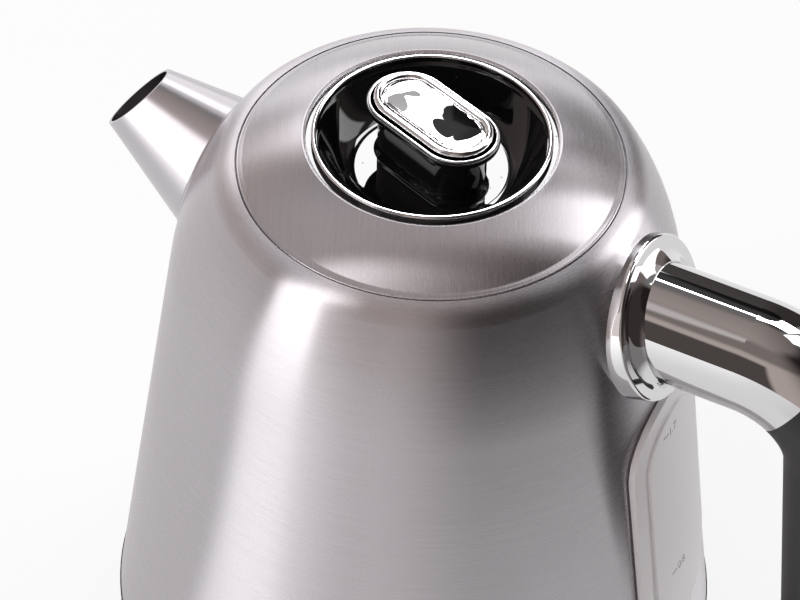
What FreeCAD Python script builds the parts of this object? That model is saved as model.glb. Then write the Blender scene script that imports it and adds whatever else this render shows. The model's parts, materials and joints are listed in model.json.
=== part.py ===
"""A cordless electric kettle on its power base.

The kettle has a drawn steel body with a conical spout, a pull-off lid with a dished
centre and a knob, a cantilever handle on a bright neck, a water gauge window, a heater
in its floor and a switch lever at its foot.  Millimetres.  The origin is on the
kettle's upright axis, at the height of the surface that the power base stands on.
+Z is up, +X points to the handle and -X to the spout.
"""

import FreeCAD
import Part
import math
import os

# ---------------------------------------------------------------- driving dimensions

# Power base
BASE_FOOT_H = 2.0            # rubber foot ring under the housing
BASE_FOOT_W = 5.0
BASE_FOOT_INSET = 9.0        # from the housing's bottom edge to the foot ring
BASE_H = 16.0                # height of the top plate
BASE_MARGIN = 1.5            # housing beyond the kettle's foot
BASE_DRAFT = 2.0             # housing wider at the bottom than at the top
BASE_WALL = 2.4
BASE_PLATE_T = 2.0
BASE_EDGE_R = 2.0
FOOT_EDGE_R = 0.5
BASE_SCREW_CIRCLE_R = 50.0
BASE_SCREW_COUNT = 3
OUTLET_W = 14.0              # cord outlet grommet
OUTLET_H = 9.0
OUTLET_DEPTH = 9.0
OUTLET_BORE_R = 3.2
OUTLET_PROUD = 1.0           # grommet beyond the housing's lower edge

# Connector between the base and the kettle
BOSS_R = 16.5
BOSS_H = 11.0                # above the top plate
SOCKET_FLANGE_R = 22.0
SOCKET_FLANGE_T = 2.5
PIN_R = 2.6
PIN_L = 10.4
TUBE_IN_R = 8.2
TUBE_OUT_R = 9.4
TUBE_L = 7.4
CONTACT_T = 0.5
CONTACT_GAP = 0.45
PLUG_DISC_T = 2.7
BOSS_TO_PLUG = 2.4
PLUG_GAP = 0.3               # above and below the plug disc
PIN_CLEAR = 1.5              # depth left under the pin and the tube

# Kettle underside
LIFT_GAP = 0.4               # kettle's foot above the base's top plate
SKIRT_H = 15.0
SKIRT_WALL = 2.4
SKIRT_DRAFT = 1.4            # skirt narrower at its foot
SKIRT_STEP = 0.3             # skirt beyond the shell
SKIRT_EDGE_R = 1.0
SKIRT_LIP_H = 4.0
SKIRT_LIP_T = 1.6
FLOOR_UP = 2.0               # underside floor above the skirt's foot
FLOOR_T = 2.0
POST_CIRCLE_R = 70.0
POST_R = 3.6
POST_COUNT = 3
PILLAR_H = 3.0               # moulding's pillars above its floor
SCREW_DEPTH = 9.0            # screws' reach into the posts
SCREW_R = 1.8
SCREW_HEAD_R = 3.4
SCREW_HEAD_H = 1.8

# Body shell, from the rim down: shoulder arc, flank arc, straight cone
SHELL_H = 165.0              # seam of the lid above the shell's bottom edge
WALL = 0.9
MOUTH_R = 50.6
RIM_DROP = 0.3               # rim below the seam
SHOULDER_R = 8.94
FLANK_R = 91.4
RIM_ANGLE = 78.4             # elevation of the surface normal at the rim
SHOULDER_ANGLE = 30.6        # where the shoulder meets the flank
CONE_ANGLE = 8.2             # of the straight cone

# Lid
LID_GAP = 0.7                # lid's edge inside the rim
LEDGE_DROP = 6.0             # collar's ledge below the seam
COLLAR_GAP = 0.5             # collar's wall outside the lid's edge
COLLAR_WALL = 0.9
COLLAR_BORE_R = 43.5
COLLAR_DEPTH = 13.0
LID_REST_GAP = 0.3
LID_WALL = 0.8
EDGE_UP = 0.4                # start of the lid's edge bead above the seam
EDGE_BEAD_R = 0.6
TRIM_R = 33.3                # inner edge of the lid's steel ring
TRIM_H = 8.47                # its height above the seam
RING_BULGE = 0.5
BEVEL_W = 0.9
BEVEL_DROP = 0.35
VALLEY_W = 1.4
BEAD_W = 1.3
BEAD_H = 1.9
DISH_DROP = 1.25             # dish flange below the trim edge
DISH_DEPTH = 6.4
DISH_FLOOR_R = 19.5          # the dish's level floor
DISH_WALL = 1.8
DISH_RIM_GAP = 0.3           # bowl's rim inside the bead
DISH_FLANGE_W = 2.2
PAN_DEPTH = 12.0             # inner pan below the seam
PAN_WALL = 0.9
SEAL_W = 0.6
SEAL_H = 2.0
SEAL_UP = 1.5                # above the pan's underside

# Knob
KNOB_ANGLE = -19.5           # the lid is set down a little turned
CAP_L = 38.8
CAP_W = 20.9
CAP_TOP = 16.6               # above the seam
CAP_T = 2.2
CAP_STEP = 0.9
CAP_ROUND = 0.6
CAP_BEAD_W = 1.9
PLATE_L = 30.7
PLATE_GROOVE = 0.45
NECK_INSET = 2.7             # neck inside the cap's outline
UNDERCUT_OUT = 0.5           # knob body beyond the cap's outline
UNDERCUT_T = 2.2
UNDERCUT_ROUND = 0.9
KNOB_SCREW_UP = 7.0          # screw's tip above the seam

# Spout: an oblique cut through a cone
SPOUT_X = 88.6               # cone's axis at the cut, from the kettle's axis
SPOUT_DROP = 17.0            # and below the seam
SPOUT_RISE = 26.0            # elevation of the cone's axis
SPOUT_CUT = 41.3             # elevation of the cut's normal
SPOUT_HALF = 17.0            # half angle of the cone
SPOUT_R = 10.7               # cone's radius on the axis at the cut
SPOUT_WALL = 0.9
SPOUT_AHEAD = 16.0           # cone drawn on past the cut, before it is cut
SPOUT_HOLE_R = 13.5          # hole in the shell behind the spout
SPOUT_HOLE_DROP = 32.0
FILTER_GAP = 0.3
FILTER_NECK_IN = 0.2         # end of the filter's neck inside the shell's outer face
FILTER_LAP = 3.0
FILTER_T = 2.4
FILTER_RIM = 1.6
FILTER_MESH_T = 0.5

# Handle
HANDLE_DROP = 25.7           # where the handle's level axis leaves the flank, below the seam
HANDLE_R = 15.2
NECK_L = 27.0                # level part of the handle
BEND_R = 28.0
NECK_BEND = 32.0             # degrees of the bend that the bright neck covers
GRIP_LEAN = 86.0             # grip's slope downwards at the end of the bend
GRIP_L = 62.0
GRIP_END_R = 12.8
TUBE_WALL = 1.2
GRIP_WALL = 2.6
FERRULE_TILT = 20.0          # the ferrule lies square to the flank
FERRULE_R = 21.7
FERRULE_T = 1.8              # beyond the flank, on its axis
FERRULE_ROUND = 0.8
FERRULE_SINK = 9.0           # drawn inwards before the body's shape is cut away
COVE_R = 20.4                # where the ferrule's cove starts on its face
COVE_OVAL = 0.01             # start's height over its width, so that it is a true ellipse
COVE_MID = 0.45              # where the cove's waist is along its run
COVE_WAIST = 0.75            # how much of its width the cove has lost there
COVE_L = 4.4                 # end of the cove, beyond the flank
COVE_LIP = 0.4               # cove's edge round the neck
CORE_T = 4.0
CORE_W = 14.0
CORE_FOOT_R = 12.0
CORE_FOOT_T = 3.0
CORE_RUN = 14.0              # strap beyond the bend, inside the grip
GRIP_SCREW_LOW = 0.36        # screws' places along the straight part of the grip
GRIP_SCREW_HIGH = 0.86
GRIP_SCREW_SEAT = 8.0        # under the head, from the grip's middle plane
GRIP_SCREW_L = 15.0
GRIP_BOSS_R = 4.0
BOLT_R = 2.5
BOLT_SPACING = 14.0
BOLT_REACH = 4.8             # bolt's tip beyond the ferrule's plane
BOLT_BOSS_R = 4.0
BOLT_BOSS_H = 5.0
BOLT_HEAD_R = 4.5
BOLT_HEAD_H = 3.0
WASHER_R = 5.6
WASHER_T = 2.0

# Water gauge window
WINDOW_DROP = 70.3           # centre of its rounded top, below the seam
WINDOW_RUN = 45.0            # between the centres of its two rounded ends
WINDOW_R = 19.7
WINDOW_PANE_R = 14.3
WINDOW_PLUG_R = 11.6
WINDOW_T = 1.7
WINDOW_RAISE = 0.7
GASKET_T = 0.5
GASKET_INSET = 1.2
RETAINER_T = 2.2
APERTURE_GAP = 0.4

# Heater and control
HEATER_UP = 12.0             # floor of the kettle above the shell's bottom edge
HEATER_T = 1.0
HEATER_RIM_GAP = 1.0         # heater's rim above the moulding's lip
DIFFUSER_R = 46.0
DIFFUSER_T = 3.0
ELEMENT_R = 40.0
ELEMENT_TUBE_R = 3.6
ELEMENT_SWEEP = 300.0
TERMINAL_R = 2.0
TERMINAL_L = 7.0
TERMINAL_IN = 4.0            # degrees inside the element's ends
CONTROL_R = 23.0
CONTROL_CLEAR = 1.0          # control's bore round the base's boss
CONTROL_RUN = 0.1            # plug disc in the control's bore, radial
CONTROL_LIP = 0.5
BIMETAL_R = 10.0
BIMETAL_T = 0.6
BIMETAL_SEAT = 2.0           # width and depth of the seat under the disc
STEAM_IN = 1.3               # steam tube's axis beyond the switch's inner face
STEAM_Y = 27.0
STEAM_R = 4.0
STEAM_BORE_R = 3.2
STEAM_TOP_DROP = 17.0
STEAM_FOOT = 8.0             # tube's end below the heater plate
STEAM_SEAL_R = 6.5
STEAM_SEAL_LIP = 1.0
STEAM_SEAL_T = 1.2
DUCT_HALF = 6.0
DUCT_H = 7.0
DUCT_GAP = 2.0               # under the heater
LEAD_R = 1.2
LEAD_SPACING = 8.0
LEAD_UP = 6.0                # leads above the control's underside

# Switch
PIVOT_INSET = 18.0           # pivot inside the skirt's outer face
PIVOT_DROP = 4.4             # below the shell's bottom edge
PIVOT_R = 1.5
PIVOT_RUN = 0.05
LEVER_OUT = 7.5              # lever beyond the skirt's outer face
LEVER_W = 17.0
LEVER_T = 5.6
LEVER_HUB_R = 3.6
SLOT_W = 18.4
SLOT_DROP = 1.0              # slot's top below the shell's bottom edge
SLOT_H = 11.4
SWITCH_BOX_L = 20.0
SWITCH_GAP = 0.6             # round the lever's hub and under the heater
CHEEK_T = 1.65
CHEEK_GAP = 0.35             # lever between its two cheeks
LEVER_ROUND = 2.0
LENS_L = 7.0
LENS_W = 3.0
LENS_T = 1.3
LENS_DEPTH = 1.0             # of the lens's pocket
LENS_INSET = 4.5             # from the lever's tip

FIT = 0.05                   # between pieces held together in one body
HOLE_FIT = 0.3               # round screws and bolts, and round inset covers
PAST = 1.0                   # how far a cutting tool runs past a face
FAR = 150.0                  # for tools that reach past the whole kettle
SAME_HEIGHT = 0.001          # edges this close to a height count as lying at it
EDGE_R = 1.0                 # plain moulded edges

# ---------------------------------------------------------------- levels and radii

skirt_foot = BASE_H + LIFT_GAP
shell_bottom = skirt_foot + SKIRT_H
seam = shell_bottom + SHELL_H
heater_z = shell_bottom + HEATER_UP
heater_under = heater_z - DIFFUSER_T


def unit(angle):
    """Return (cos, sin) of an angle in degrees."""
    return math.cos(math.radians(angle)), math.sin(math.radians(angle))


def shell_points(offset):
    """Return rim, shoulder end, flank end and bottom as (r, z), moved in by offset.

    Each arc keeps its centre, so an arc's end lies at centre + (R - offset)(cos, sin).
    """
    rim_c, rim_s = unit(RIM_ANGLE)
    sho_c, sho_s = unit(SHOULDER_ANGLE)
    con_c, con_s = unit(CONE_ANGLE)
    shoulder = (MOUTH_R - SHOULDER_R * rim_c, seam - RIM_DROP - SHOULDER_R * rim_s)
    flank = (shoulder[0] + (SHOULDER_R - FLANK_R) * sho_c, shoulder[1] + (SHOULDER_R - FLANK_R) * sho_s)
    small = SHOULDER_R - offset
    large = FLANK_R - offset
    rim = (shoulder[0] + small * rim_c, shoulder[1] + small * rim_s)
    shoulder_end = (shoulder[0] + small * sho_c, shoulder[1] + small * sho_s)
    flank_end = (flank[0] + large * con_c, flank[1] + large * con_s)
    bottom_r = flank_end[0] + (flank_end[1] - shell_bottom) * con_s / con_c
    mid_c, mid_s = unit((RIM_ANGLE + SHOULDER_ANGLE) / 2)
    shoulder_mid = (shoulder[0] + small * mid_c, shoulder[1] + small * mid_s)
    mid_c, mid_s = unit((SHOULDER_ANGLE + CONE_ANGLE) / 2)
    flank_mid = (flank[0] + large * mid_c, flank[1] + large * mid_s)
    return rim, shoulder_mid, shoulder_end, flank_mid, flank_end, (bottom_r, shell_bottom)


def shell_radius(z, offset=0.0):
    """Return the shell's radius at height z, moved in by offset, below the shoulder."""
    rim, _, shoulder_end, _, flank_end, bottom = shell_points(offset)
    if z < flank_end[1]:
        share = (z - bottom[1]) / (flank_end[1] - bottom[1])
        return bottom[0] + share * (flank_end[0] - bottom[0])
    sho_c, sho_s = unit(SHOULDER_ANGLE)
    large = FLANK_R - offset
    centre_r = shoulder_end[0] - large * sho_c
    centre_z = shoulder_end[1] - large * sho_s
    return centre_r + math.sqrt(large ** 2 - (z - centre_z) ** 2)


shell_base_r = shell_points(0.0)[-1][0]
skirt_r = shell_base_r + SKIRT_STEP
skirt_foot_r = skirt_r - SKIRT_DRAFT
base_top_r = skirt_foot_r + BASE_MARGIN
base_bottom_r = base_top_r + BASE_DRAFT
lid_r = MOUTH_R - LID_GAP
pivot_x = skirt_r - PIVOT_INSET
pivot_z = shell_bottom - PIVOT_DROP
switch_out_x = pivot_x - LEVER_HUB_R - SWITCH_GAP
switch_in_x = switch_out_x - SWITCH_BOX_L
steam_x = switch_in_x + STEAM_IN

# ---------------------------------------------------------------- shape helpers


def vec(x, y, z):
    return FreeCAD.Vector(x, y, z)


UP = vec(0, 0, 1)
ALONG = vec(1, 0, 0)
ACROSS = vec(0, 1, 0)
CENTRE = vec(0, 0, 0)


def outline(start, *steps):
    """Return a face in the XZ plane.  A step is (r, z), or (mid, end) for an arc."""
    edges = []
    here = vec(start[0], 0, start[1])
    for step in list(steps) + [start]:
        if isinstance(step[0], tuple):
            middle = vec(step[0][0], 0, step[0][1])
            end = vec(step[1][0], 0, step[1][1])
            edges.append(Part.Arc(here, middle, end).toShape())
            here = end
            continue
        end = vec(step[0], 0, step[1])
        if here.distanceToPoint(end) > 1e-6:
            edges.append(Part.makeLine(here, end))
        here = end
    return Part.Face(Part.Wire(edges))


def turned(start, *steps):
    """Return the solid that the outline sweeps in a full turn about Z."""
    return outline(start, *steps).revolve(CENTRE, UP, 360)


def disc(radius, low, high, x=0.0, y=0.0):
    """Return an upright cylinder from one height to another."""
    return Part.makeCylinder(radius, high - low, vec(x, y, low))


def ring(inner, outer, low, high):
    """Return an upright tube from one height to another."""
    return disc(outer, low, high).cut(disc(inner, low - PAST, high + PAST))


def box(x0, x1, y0, y1, z0, z1):
    """Return the block between two values on each axis."""
    return Part.makeBox(x1 - x0, y1 - y0, z1 - z0, vec(x0, y0, z0))


def slot_prism(length, width, low, high):
    """Return an upright prism on a stadium outline, long side along X."""
    radius = width / 2
    half = length / 2 - radius
    middle = box(-half, half, -radius, radius, low, high)
    ends = [disc(radius, low, high, side * half) for side in (-1, 1)]
    return middle.fuse(ends).removeSplitter()


def gauge_prism(radius):
    """Return a prism along +X on the gauge's upright stadium outline."""
    top = seam - WINDOW_DROP
    low = top - WINDOW_RUN
    ends = [Part.makeCylinder(radius, FAR, vec(0, 0, z), ALONG) for z in (low, top)]
    return box(0, FAR, -radius, radius, low, top).fuse(ends).removeSplitter()


def hole_prism(radius):
    """Return a round bar along X through the hole behind the spout."""
    return Part.makeCylinder(radius, FAR, vec(-FAR, 0, seam - SPOUT_HOLE_DROP), ALONG)


def inside(offset):
    """Return the solid that fills the shell's outline, moved in by offset."""
    rim, smid, send, fmid, fend, bottom = shell_points(offset)
    return turned((0, rim[1]), rim, (smid, send), (fmid, fend), bottom, (0, bottom[1]))


def band(outer_offset, inner_offset):
    """Return the shell-shaped skin between two offsets of the body's outline."""
    return inside(outer_offset).cut(inside(inner_offset))


def fillet_ring(solid, radius, height):
    """Round the edges of a solid that lie wholly at one height."""
    edges = [e for e in solid.Edges
             if max(abs(e.BoundBox.ZMin - height), abs(e.BoundBox.ZMax - height)) < SAME_HEIGHT]
    return solid.makeFillet(radius, edges)


def around(count, start):
    """Yield evenly spaced angles in degrees."""
    for i in range(count):
        yield start + 360.0 * i / count


NODES = {}


def node(name, *solids):
    """Keep a node's solid, or its group of separate solids."""
    NODES[name] = solids[0] if len(solids) == 1 else Part.makeCompound(list(solids))


# ---------------------------------------------------------------- power base

boss_top = BASE_H + BOSS_H
plug_low = boss_top + BOSS_TO_PLUG
plug_high = plug_low + PLUG_DISC_T
boss_slot_in = TUBE_IN_R - CONTACT_GAP
boss_slot_out = TUBE_OUT_R + CONTACT_GAP + CONTACT_T + FIT
pin_hole_r = PIN_R + CONTACT_GAP + CONTACT_T + FIT
socket_low = BASE_FOOT_H + BASE_PLATE_T
top_plate_low = BASE_H - BASE_WALL


def screw(x, y, tip, head_low):
    """Return a pan-head screw along Z with its head at the lower end."""
    head = disc(SCREW_HEAD_R, head_low, head_low + SCREW_HEAD_H, x, y)
    shank = disc(SCREW_R, head_low + SCREW_HEAD_H, tip, x, y)
    return head.fuse(shank).removeSplitter()


def power_base():
    plate_low = BASE_FOOT_H
    housing = turned(
        (base_bottom_r, plate_low), (base_top_r, BASE_H), (0, BASE_H), (0, top_plate_low),
        (base_top_r - BASE_WALL, top_plate_low), (base_bottom_r - BASE_WALL, plate_low))
    housing = fillet_ring(housing, BASE_EDGE_R, BASE_H)
    housing = housing.cut(disc(BOSS_R + HOLE_FIT, top_plate_low - PAST, BASE_H + PAST))
    outlet_y = base_bottom_r - OUTLET_DEPTH
    outlet_high = socket_low + OUTLET_H
    notch = box(-OUTLET_W / 2, OUTLET_W / 2, outlet_y, FAR, plate_low - PAST, outlet_high)
    plate = disc(base_bottom_r - BASE_WALL - HOLE_FIT, plate_low, socket_low)
    plate = plate.cut(notch)
    housing = housing.cut(notch)

    foot_out = base_bottom_r - BASE_FOOT_INSET
    groove = BASE_PLATE_T / 2
    foot = ring(foot_out - BASE_FOOT_W, foot_out, 0, plate_low + groove)
    foot = fillet_ring(foot, FOOT_EDGE_R, 0.0)
    plate = plate.cut(ring(foot_out - BASE_FOOT_W, foot_out, plate_low - PAST, plate_low + groove))

    screws = []
    for angle in around(BASE_SCREW_COUNT, 30.0):
        c, s = unit(angle)
        x = BASE_SCREW_CIRCLE_R * c
        y = BASE_SCREW_CIRCLE_R * s
        pillar = disc(2 * SCREW_R, socket_low, top_plate_low, x, y)
        tip = top_plate_low - PAST
        housing = housing.fuse(pillar).cut(disc(SCREW_R, plate_low, tip, x, y))
        plate = plate.cut(disc(SCREW_R + HOLE_FIT, plate_low - PAST, socket_low + PAST, x, y))
        plate = plate.cut(disc(SCREW_HEAD_R + HOLE_FIT, plate_low - PAST, plate_low + groove, x, y))
        head_low = plate_low + groove - SCREW_HEAD_H
        screws.append(screw(x, y, tip, head_low))

    socket = disc(BOSS_R, socket_low, boss_top)
    socket = socket.fuse(disc(SOCKET_FLANGE_R, top_plate_low - SOCKET_FLANGE_T, top_plate_low))
    socket = fillet_ring(socket.removeSplitter(), EDGE_R, boss_top)
    slot_low = plug_low - TUBE_L - PIN_CLEAR
    hole_low = plug_low - PIN_L - PIN_CLEAR
    socket = socket.cut(ring(boss_slot_in, boss_slot_out, slot_low, boss_top + PAST))
    socket = socket.cut(disc(pin_hole_r, hole_low, boss_top + PAST))
    contact_top = boss_top - EDGE_R
    contacts = [
        ring(boss_slot_out - CONTACT_T - FIT, boss_slot_out - FIT, slot_low, contact_top),
        ring(pin_hole_r - CONTACT_T - FIT, pin_hole_r - FIT, hole_low, contact_top)]

    outlet_end = base_bottom_r + OUTLET_PROUD
    outlet_z = (plate_low + outlet_high) / 2
    half = OUTLET_W / 2 - FIT
    outlet = box(-half, half, outlet_y + FIT, outlet_end, plate_low, outlet_high - FIT)
    outlet = outlet.makeFillet(EDGE_R, [e for e in outlet.Edges if e.BoundBox.YMin > outlet_end - FIT])
    outlet = outlet.cut(Part.makeCylinder(OUTLET_BORE_R, FAR, vec(0, outlet_y, outlet_z), ACROSS))
    leads = []
    for side in (-1, 0, 1):
        start = vec(2.5 * LEAD_R * side, BOSS_R, outlet_z)
        leads.append(Part.makeCylinder(LEAD_R, outlet_y - BOSS_R, start, ACROSS))

    node("base_housing", housing.removeSplitter())
    node("base_plate", plate)
    node("base_foot_ring", foot)
    node("base_screws", *screws)
    node("base_socket", socket)
    node("base_contacts", *contacts)
    node("cord_outlet", outlet)
    node("base_leads", *leads)


# ---------------------------------------------------------------- connector and control

control_low = skirt_foot + FLOOR_UP + FLOOR_T
control_top = heater_under - BIMETAL_T - FIT
control_bore_r = BOSS_R + CONTROL_CLEAR


def connector():
    """The half of the connector that lets the kettle turn: a disc with a pin and a tube."""
    plug = disc(control_bore_r - CONTROL_RUN, plug_low, plug_high)
    pin = disc(PIN_R, plug_low - PIN_L, plug_low)
    tube = ring(TUBE_IN_R, TUBE_OUT_R, plug_low - TUBE_L, plug_low)
    node("kettle_connector", plug.fuse([pin, tube]).removeSplitter())


def control():
    """The control, which holds the connector's disc, and the trip disc on top of it."""
    block = disc(CONTROL_R, control_low, control_top)
    block = block.cut(disc(control_bore_r, plug_low - PLUG_GAP, plug_high + PLUG_GAP))
    block = block.cut(disc(control_bore_r - CONTROL_LIP, control_low - PAST, plug_low))
    block = block.cut(disc(BIMETAL_R - BIMETAL_SEAT, control_top - BIMETAL_SEAT, control_top + PAST))
    node("control_block", block)
    node("bimetal_disc", disc(BIMETAL_R, control_top, control_top + BIMETAL_T))


# ---------------------------------------------------------------- heater


def post_places():
    """Yield the centres of the posts and of the screws in them."""
    for angle in around(POST_COUNT, 60.0):
        c, s = unit(angle)
        yield POST_CIRCLE_R * c, POST_CIRCLE_R * s


def heater():
    """The steel floor, the plate under it, the element and the posts for the moulding."""
    floor_top = heater_z + HEATER_T
    rim_low = shell_bottom + SKIRT_LIP_H + HEATER_RIM_GAP
    slab = disc(FAR, rim_low, floor_top)
    under = disc(FAR, rim_low - PAST, heater_z)
    plate = inside(WALL).common(slab).cut(inside(WALL + HEATER_T).common(under))
    hole_r = STEAM_SEAL_R - STEAM_SEAL_LIP
    plate = plate.cut(disc(hole_r, heater_z - PAST, floor_top + PAST, steam_x, STEAM_Y))
    node("heater_plate", plate)
    node("heat_diffuser", disc(DIFFUSER_R, heater_under, heater_z))

    start = (360.0 - ELEMENT_SWEEP) / 2
    tube_z = heater_under - ELEMENT_TUBE_R
    circle = Part.Face(Part.Wire(Part.makeCircle(ELEMENT_TUBE_R, vec(ELEMENT_R, 0, tube_z), ACROSS)))
    circle.rotate(CENTRE, UP, start)
    element = circle.revolve(CENTRE, UP, ELEMENT_SWEEP)
    for side in (-1, 1):
        c, s = unit(side * (start + TERMINAL_IN))
        low = tube_z - ELEMENT_TUBE_R - TERMINAL_L
        element = element.fuse(disc(TERMINAL_R, low, tube_z, ELEMENT_R * c, ELEMENT_R * s))
    node("heating_element", element.removeSplitter())

    posts = []
    post_low = control_low + PILLAR_H
    for x, y in post_places():
        hole = disc(SCREW_R, post_low - PAST, post_low + SCREW_DEPTH + PAST, x, y)
        posts.append(disc(POST_R, post_low, heater_z, x, y).cut(hole))
    node("mounting_posts", *posts)


def steam_tube():
    """The tube that brings steam down to the switch, and its seal in the steel floor."""
    top = seam - STEAM_TOP_DROP
    low = heater_z - STEAM_FOOT
    floor_top = heater_z + HEATER_T
    bore = disc(STEAM_BORE_R, low - PAST, top + PAST, steam_x, STEAM_Y)
    node("steam_tube", disc(STEAM_R, low, top, steam_x, STEAM_Y).cut(bore))
    seal_low = heater_z - STEAM_SEAL_T
    hole_r = STEAM_SEAL_R - STEAM_SEAL_LIP
    seal = disc(STEAM_SEAL_R, seal_low, heater_z, steam_x, STEAM_Y)
    seal = seal.fuse(disc(hole_r - FIT, seal_low, floor_top, steam_x, STEAM_Y))
    seal = seal.fuse(disc(STEAM_SEAL_R, floor_top, floor_top + STEAM_SEAL_T, steam_x, STEAM_Y))
    seal = seal.cut(disc(STEAM_R + FIT, low, top, steam_x, STEAM_Y))
    node("steam_tube_seal", seal.removeSplitter())


# ---------------------------------------------------------------- underside and switch



def underside():
    """The dark moulding under the body: a skirt with a lip in the shell, and a floor."""
    lip_r = shell_radius(shell_bottom, WALL) - FIT
    lip_top = shell_bottom + SKIRT_LIP_H
    lip_top_r = shell_radius(lip_top, WALL) - FIT
    floor_low = skirt_foot + FLOOR_UP
    floor_high = floor_low + FLOOR_T
    in_foot = skirt_foot_r - SKIRT_WALL
    round_in = SKIRT_EDGE_R * (1 - unit(45.0)[0])
    floor_hole_r = control_bore_r + EDGE_R / 2
    moulding = turned(
        (in_foot, skirt_foot), (skirt_foot_r - SKIRT_EDGE_R, skirt_foot),
        ((skirt_foot_r - round_in, skirt_foot + round_in), (skirt_foot_r, skirt_foot + SKIRT_EDGE_R)),
        (skirt_r, shell_bottom), (lip_r, shell_bottom), (lip_top_r, lip_top),
        (lip_top_r - SKIRT_LIP_T, lip_top), (in_foot, floor_high),
        (floor_hole_r, floor_high), (floor_hole_r, floor_low), (in_foot, floor_low))
    slot_high = shell_bottom - SLOT_DROP
    slot = box(in_foot - SKIRT_WALL, FAR, -SLOT_W / 2, SLOT_W / 2, slot_high - SLOT_H, slot_high)
    moulding = moulding.cut(slot)
    pillar_high = floor_high + PILLAR_H
    for x, y in post_places():
        moulding = moulding.fuse(disc(POST_R, floor_high, pillar_high, x, y))
        moulding = moulding.cut(disc(SCREW_R + HOLE_FIT, floor_low - PAST, pillar_high + PAST, x, y))
    node("base_moulding", moulding.removeSplitter())
    tip = control_low + PILLAR_H + SCREW_DEPTH
    node("base_moulding_screws", *[screw(x, y, tip, floor_low - SCREW_HEAD_H) for x, y in post_places()])


def switch():
    """The steam switch's box carries the pivot, and the rocker lever turns on it."""
    cheek_in = LEVER_W / 2 + CHEEK_GAP
    half = cheek_in + CHEEK_T
    body = box(switch_in_x, switch_out_x, -half, half, control_low, heater_under - SWITCH_GAP)
    cheeks = box(switch_out_x, pivot_x + LEVER_HUB_R, -half, half, control_low, pivot_z + LEVER_HUB_R)
    cheeks = cheeks.cut(box(switch_out_x, FAR, -cheek_in, cheek_in, 0, seam))
    pin = Part.makeCylinder(PIVOT_R, 2 * half, vec(pivot_x, -half, pivot_z), ACROSS)
    duct_high = heater_under - DUCT_GAP
    duct = box(steam_x - DUCT_HALF, steam_x + DUCT_HALF, half, STEAM_Y + DUCT_HALF + PAST,
               duct_high - DUCT_H, duct_high)
    duct = duct.cut(disc(STEAM_R + FIT, heater_z - STEAM_FOOT, heater_z, steam_x, STEAM_Y))
    node("steam_switch", body.fuse([cheeks, pin, duct]).removeSplitter())

    leads = []
    for side in (-1, 1):
        y = side * LEAD_SPACING / 2
        start = vec(math.sqrt(CONTROL_R ** 2 - (abs(y) - LEAD_R) ** 2), y, control_low + LEAD_UP)
        leads.append(Part.makeCylinder(LEAD_R, switch_in_x - start.x, start, ALONG))
    node("switch_leads", *leads)

    reach = skirt_r + LEVER_OUT
    half_t = LEVER_T / 2
    arm = box(pivot_x, reach, -LEVER_W / 2, LEVER_W / 2, pivot_z - half_t, pivot_z + half_t)
    arm = arm.makeFillet(LEVER_ROUND, [e for e in arm.Edges if e.BoundBox.XMin > reach - FIT])
    hub = Part.makeCylinder(LEVER_HUB_R, LEVER_W, vec(pivot_x, -LEVER_W / 2, pivot_z), ACROSS)
    bore = Part.makeCylinder(PIVOT_R + PIVOT_RUN, 2 * half, vec(pivot_x, -half, pivot_z), ACROSS)
    lens_x = reach - LENS_INSET
    lens_low = pivot_z + half_t - LENS_DEPTH
    half_w = LENS_W / 2
    half_l = LENS_L / 2
    pocket = box(lens_x - half_w - FIT, lens_x + half_w + FIT, -half_l - FIT, half_l + FIT, lens_low, seam)
    node("switch_lever", arm.fuse(hub).removeSplitter().cut(bore).cut(pocket))
    lens = box(lens_x - half_w, lens_x + half_w, -half_l, half_l, lens_low, lens_low + LENS_T)
    node("indicator_lens", lens)


# ---------------------------------------------------------------- spout and filter

rise_c, rise_s = unit(SPOUT_RISE)
spout_out = vec(-rise_c, 0, rise_s)
spout_at = vec(-SPOUT_X, 0, seam - SPOUT_DROP)


def spout_cone(inset):
    """Return the spout's cone, its wall moved in by inset, cut at the mouth."""
    half_c, half_s = unit(SPOUT_HALF)
    slope = half_s / half_c
    radius = SPOUT_R - inset / half_c
    behind = SPOUT_X - MOUTH_R / 2
    cone = Part.makeCone(radius - SPOUT_AHEAD * slope, radius + behind * slope, SPOUT_AHEAD + behind,
                         spout_at + spout_out * SPOUT_AHEAD, spout_out * -1)
    cut_c, cut_s = unit(SPOUT_CUT)
    return cone.cut(Part.makeCylinder(FAR, FAR, spout_at, vec(-cut_c, 0, cut_s)))


def spout():
    """The cone's skin, ended where it meets the body's outer face."""
    node("spout", spout_cone(0.0).cut(spout_cone(SPOUT_WALL)).cut(inside(0.0)))


def spout_filter():
    """A frame on the shell's inner face, with a neck in the hole and a mesh across."""
    neck_r = SPOUT_HOLE_R - FILTER_GAP
    bore_r = neck_r - FILTER_RIM
    seat = WALL + FILTER_GAP
    frame = band(seat, seat + FILTER_T).common(hole_prism(SPOUT_HOLE_R + FILTER_LAP))
    neck = band(FILTER_NECK_IN, seat).common(hole_prism(neck_r))
    frame = frame.fuse(neck).removeSplitter().cut(hole_prism(bore_r))
    mesh_at = seat + FILTER_T / 2
    mesh = band(mesh_at, mesh_at + FILTER_MESH_T).common(hole_prism(bore_r - FIT))
    node("filter_frame", frame)
    node("filter_mesh", mesh)


# ---------------------------------------------------------------- body shell


def body_shell():
    """The drawn steel skin, with holes for the mouth, spout, gauge and handle bolts."""
    shell = band(0.0, WALL).cut(disc(MOUTH_R + FIT, seam - LEDGE_DROP, seam))
    shell = shell.cut(hole_prism(SPOUT_HOLE_R)).cut(gauge_prism(WINDOW_PLUG_R + APERTURE_GAP))
    for at in bolt_axes():
        shell = shell.cut(bolt_bar(at, BOLT_R + HOLE_FIT, -FERRULE_SINK, FERRULE_SINK))
    node("body_shell", shell)


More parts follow.
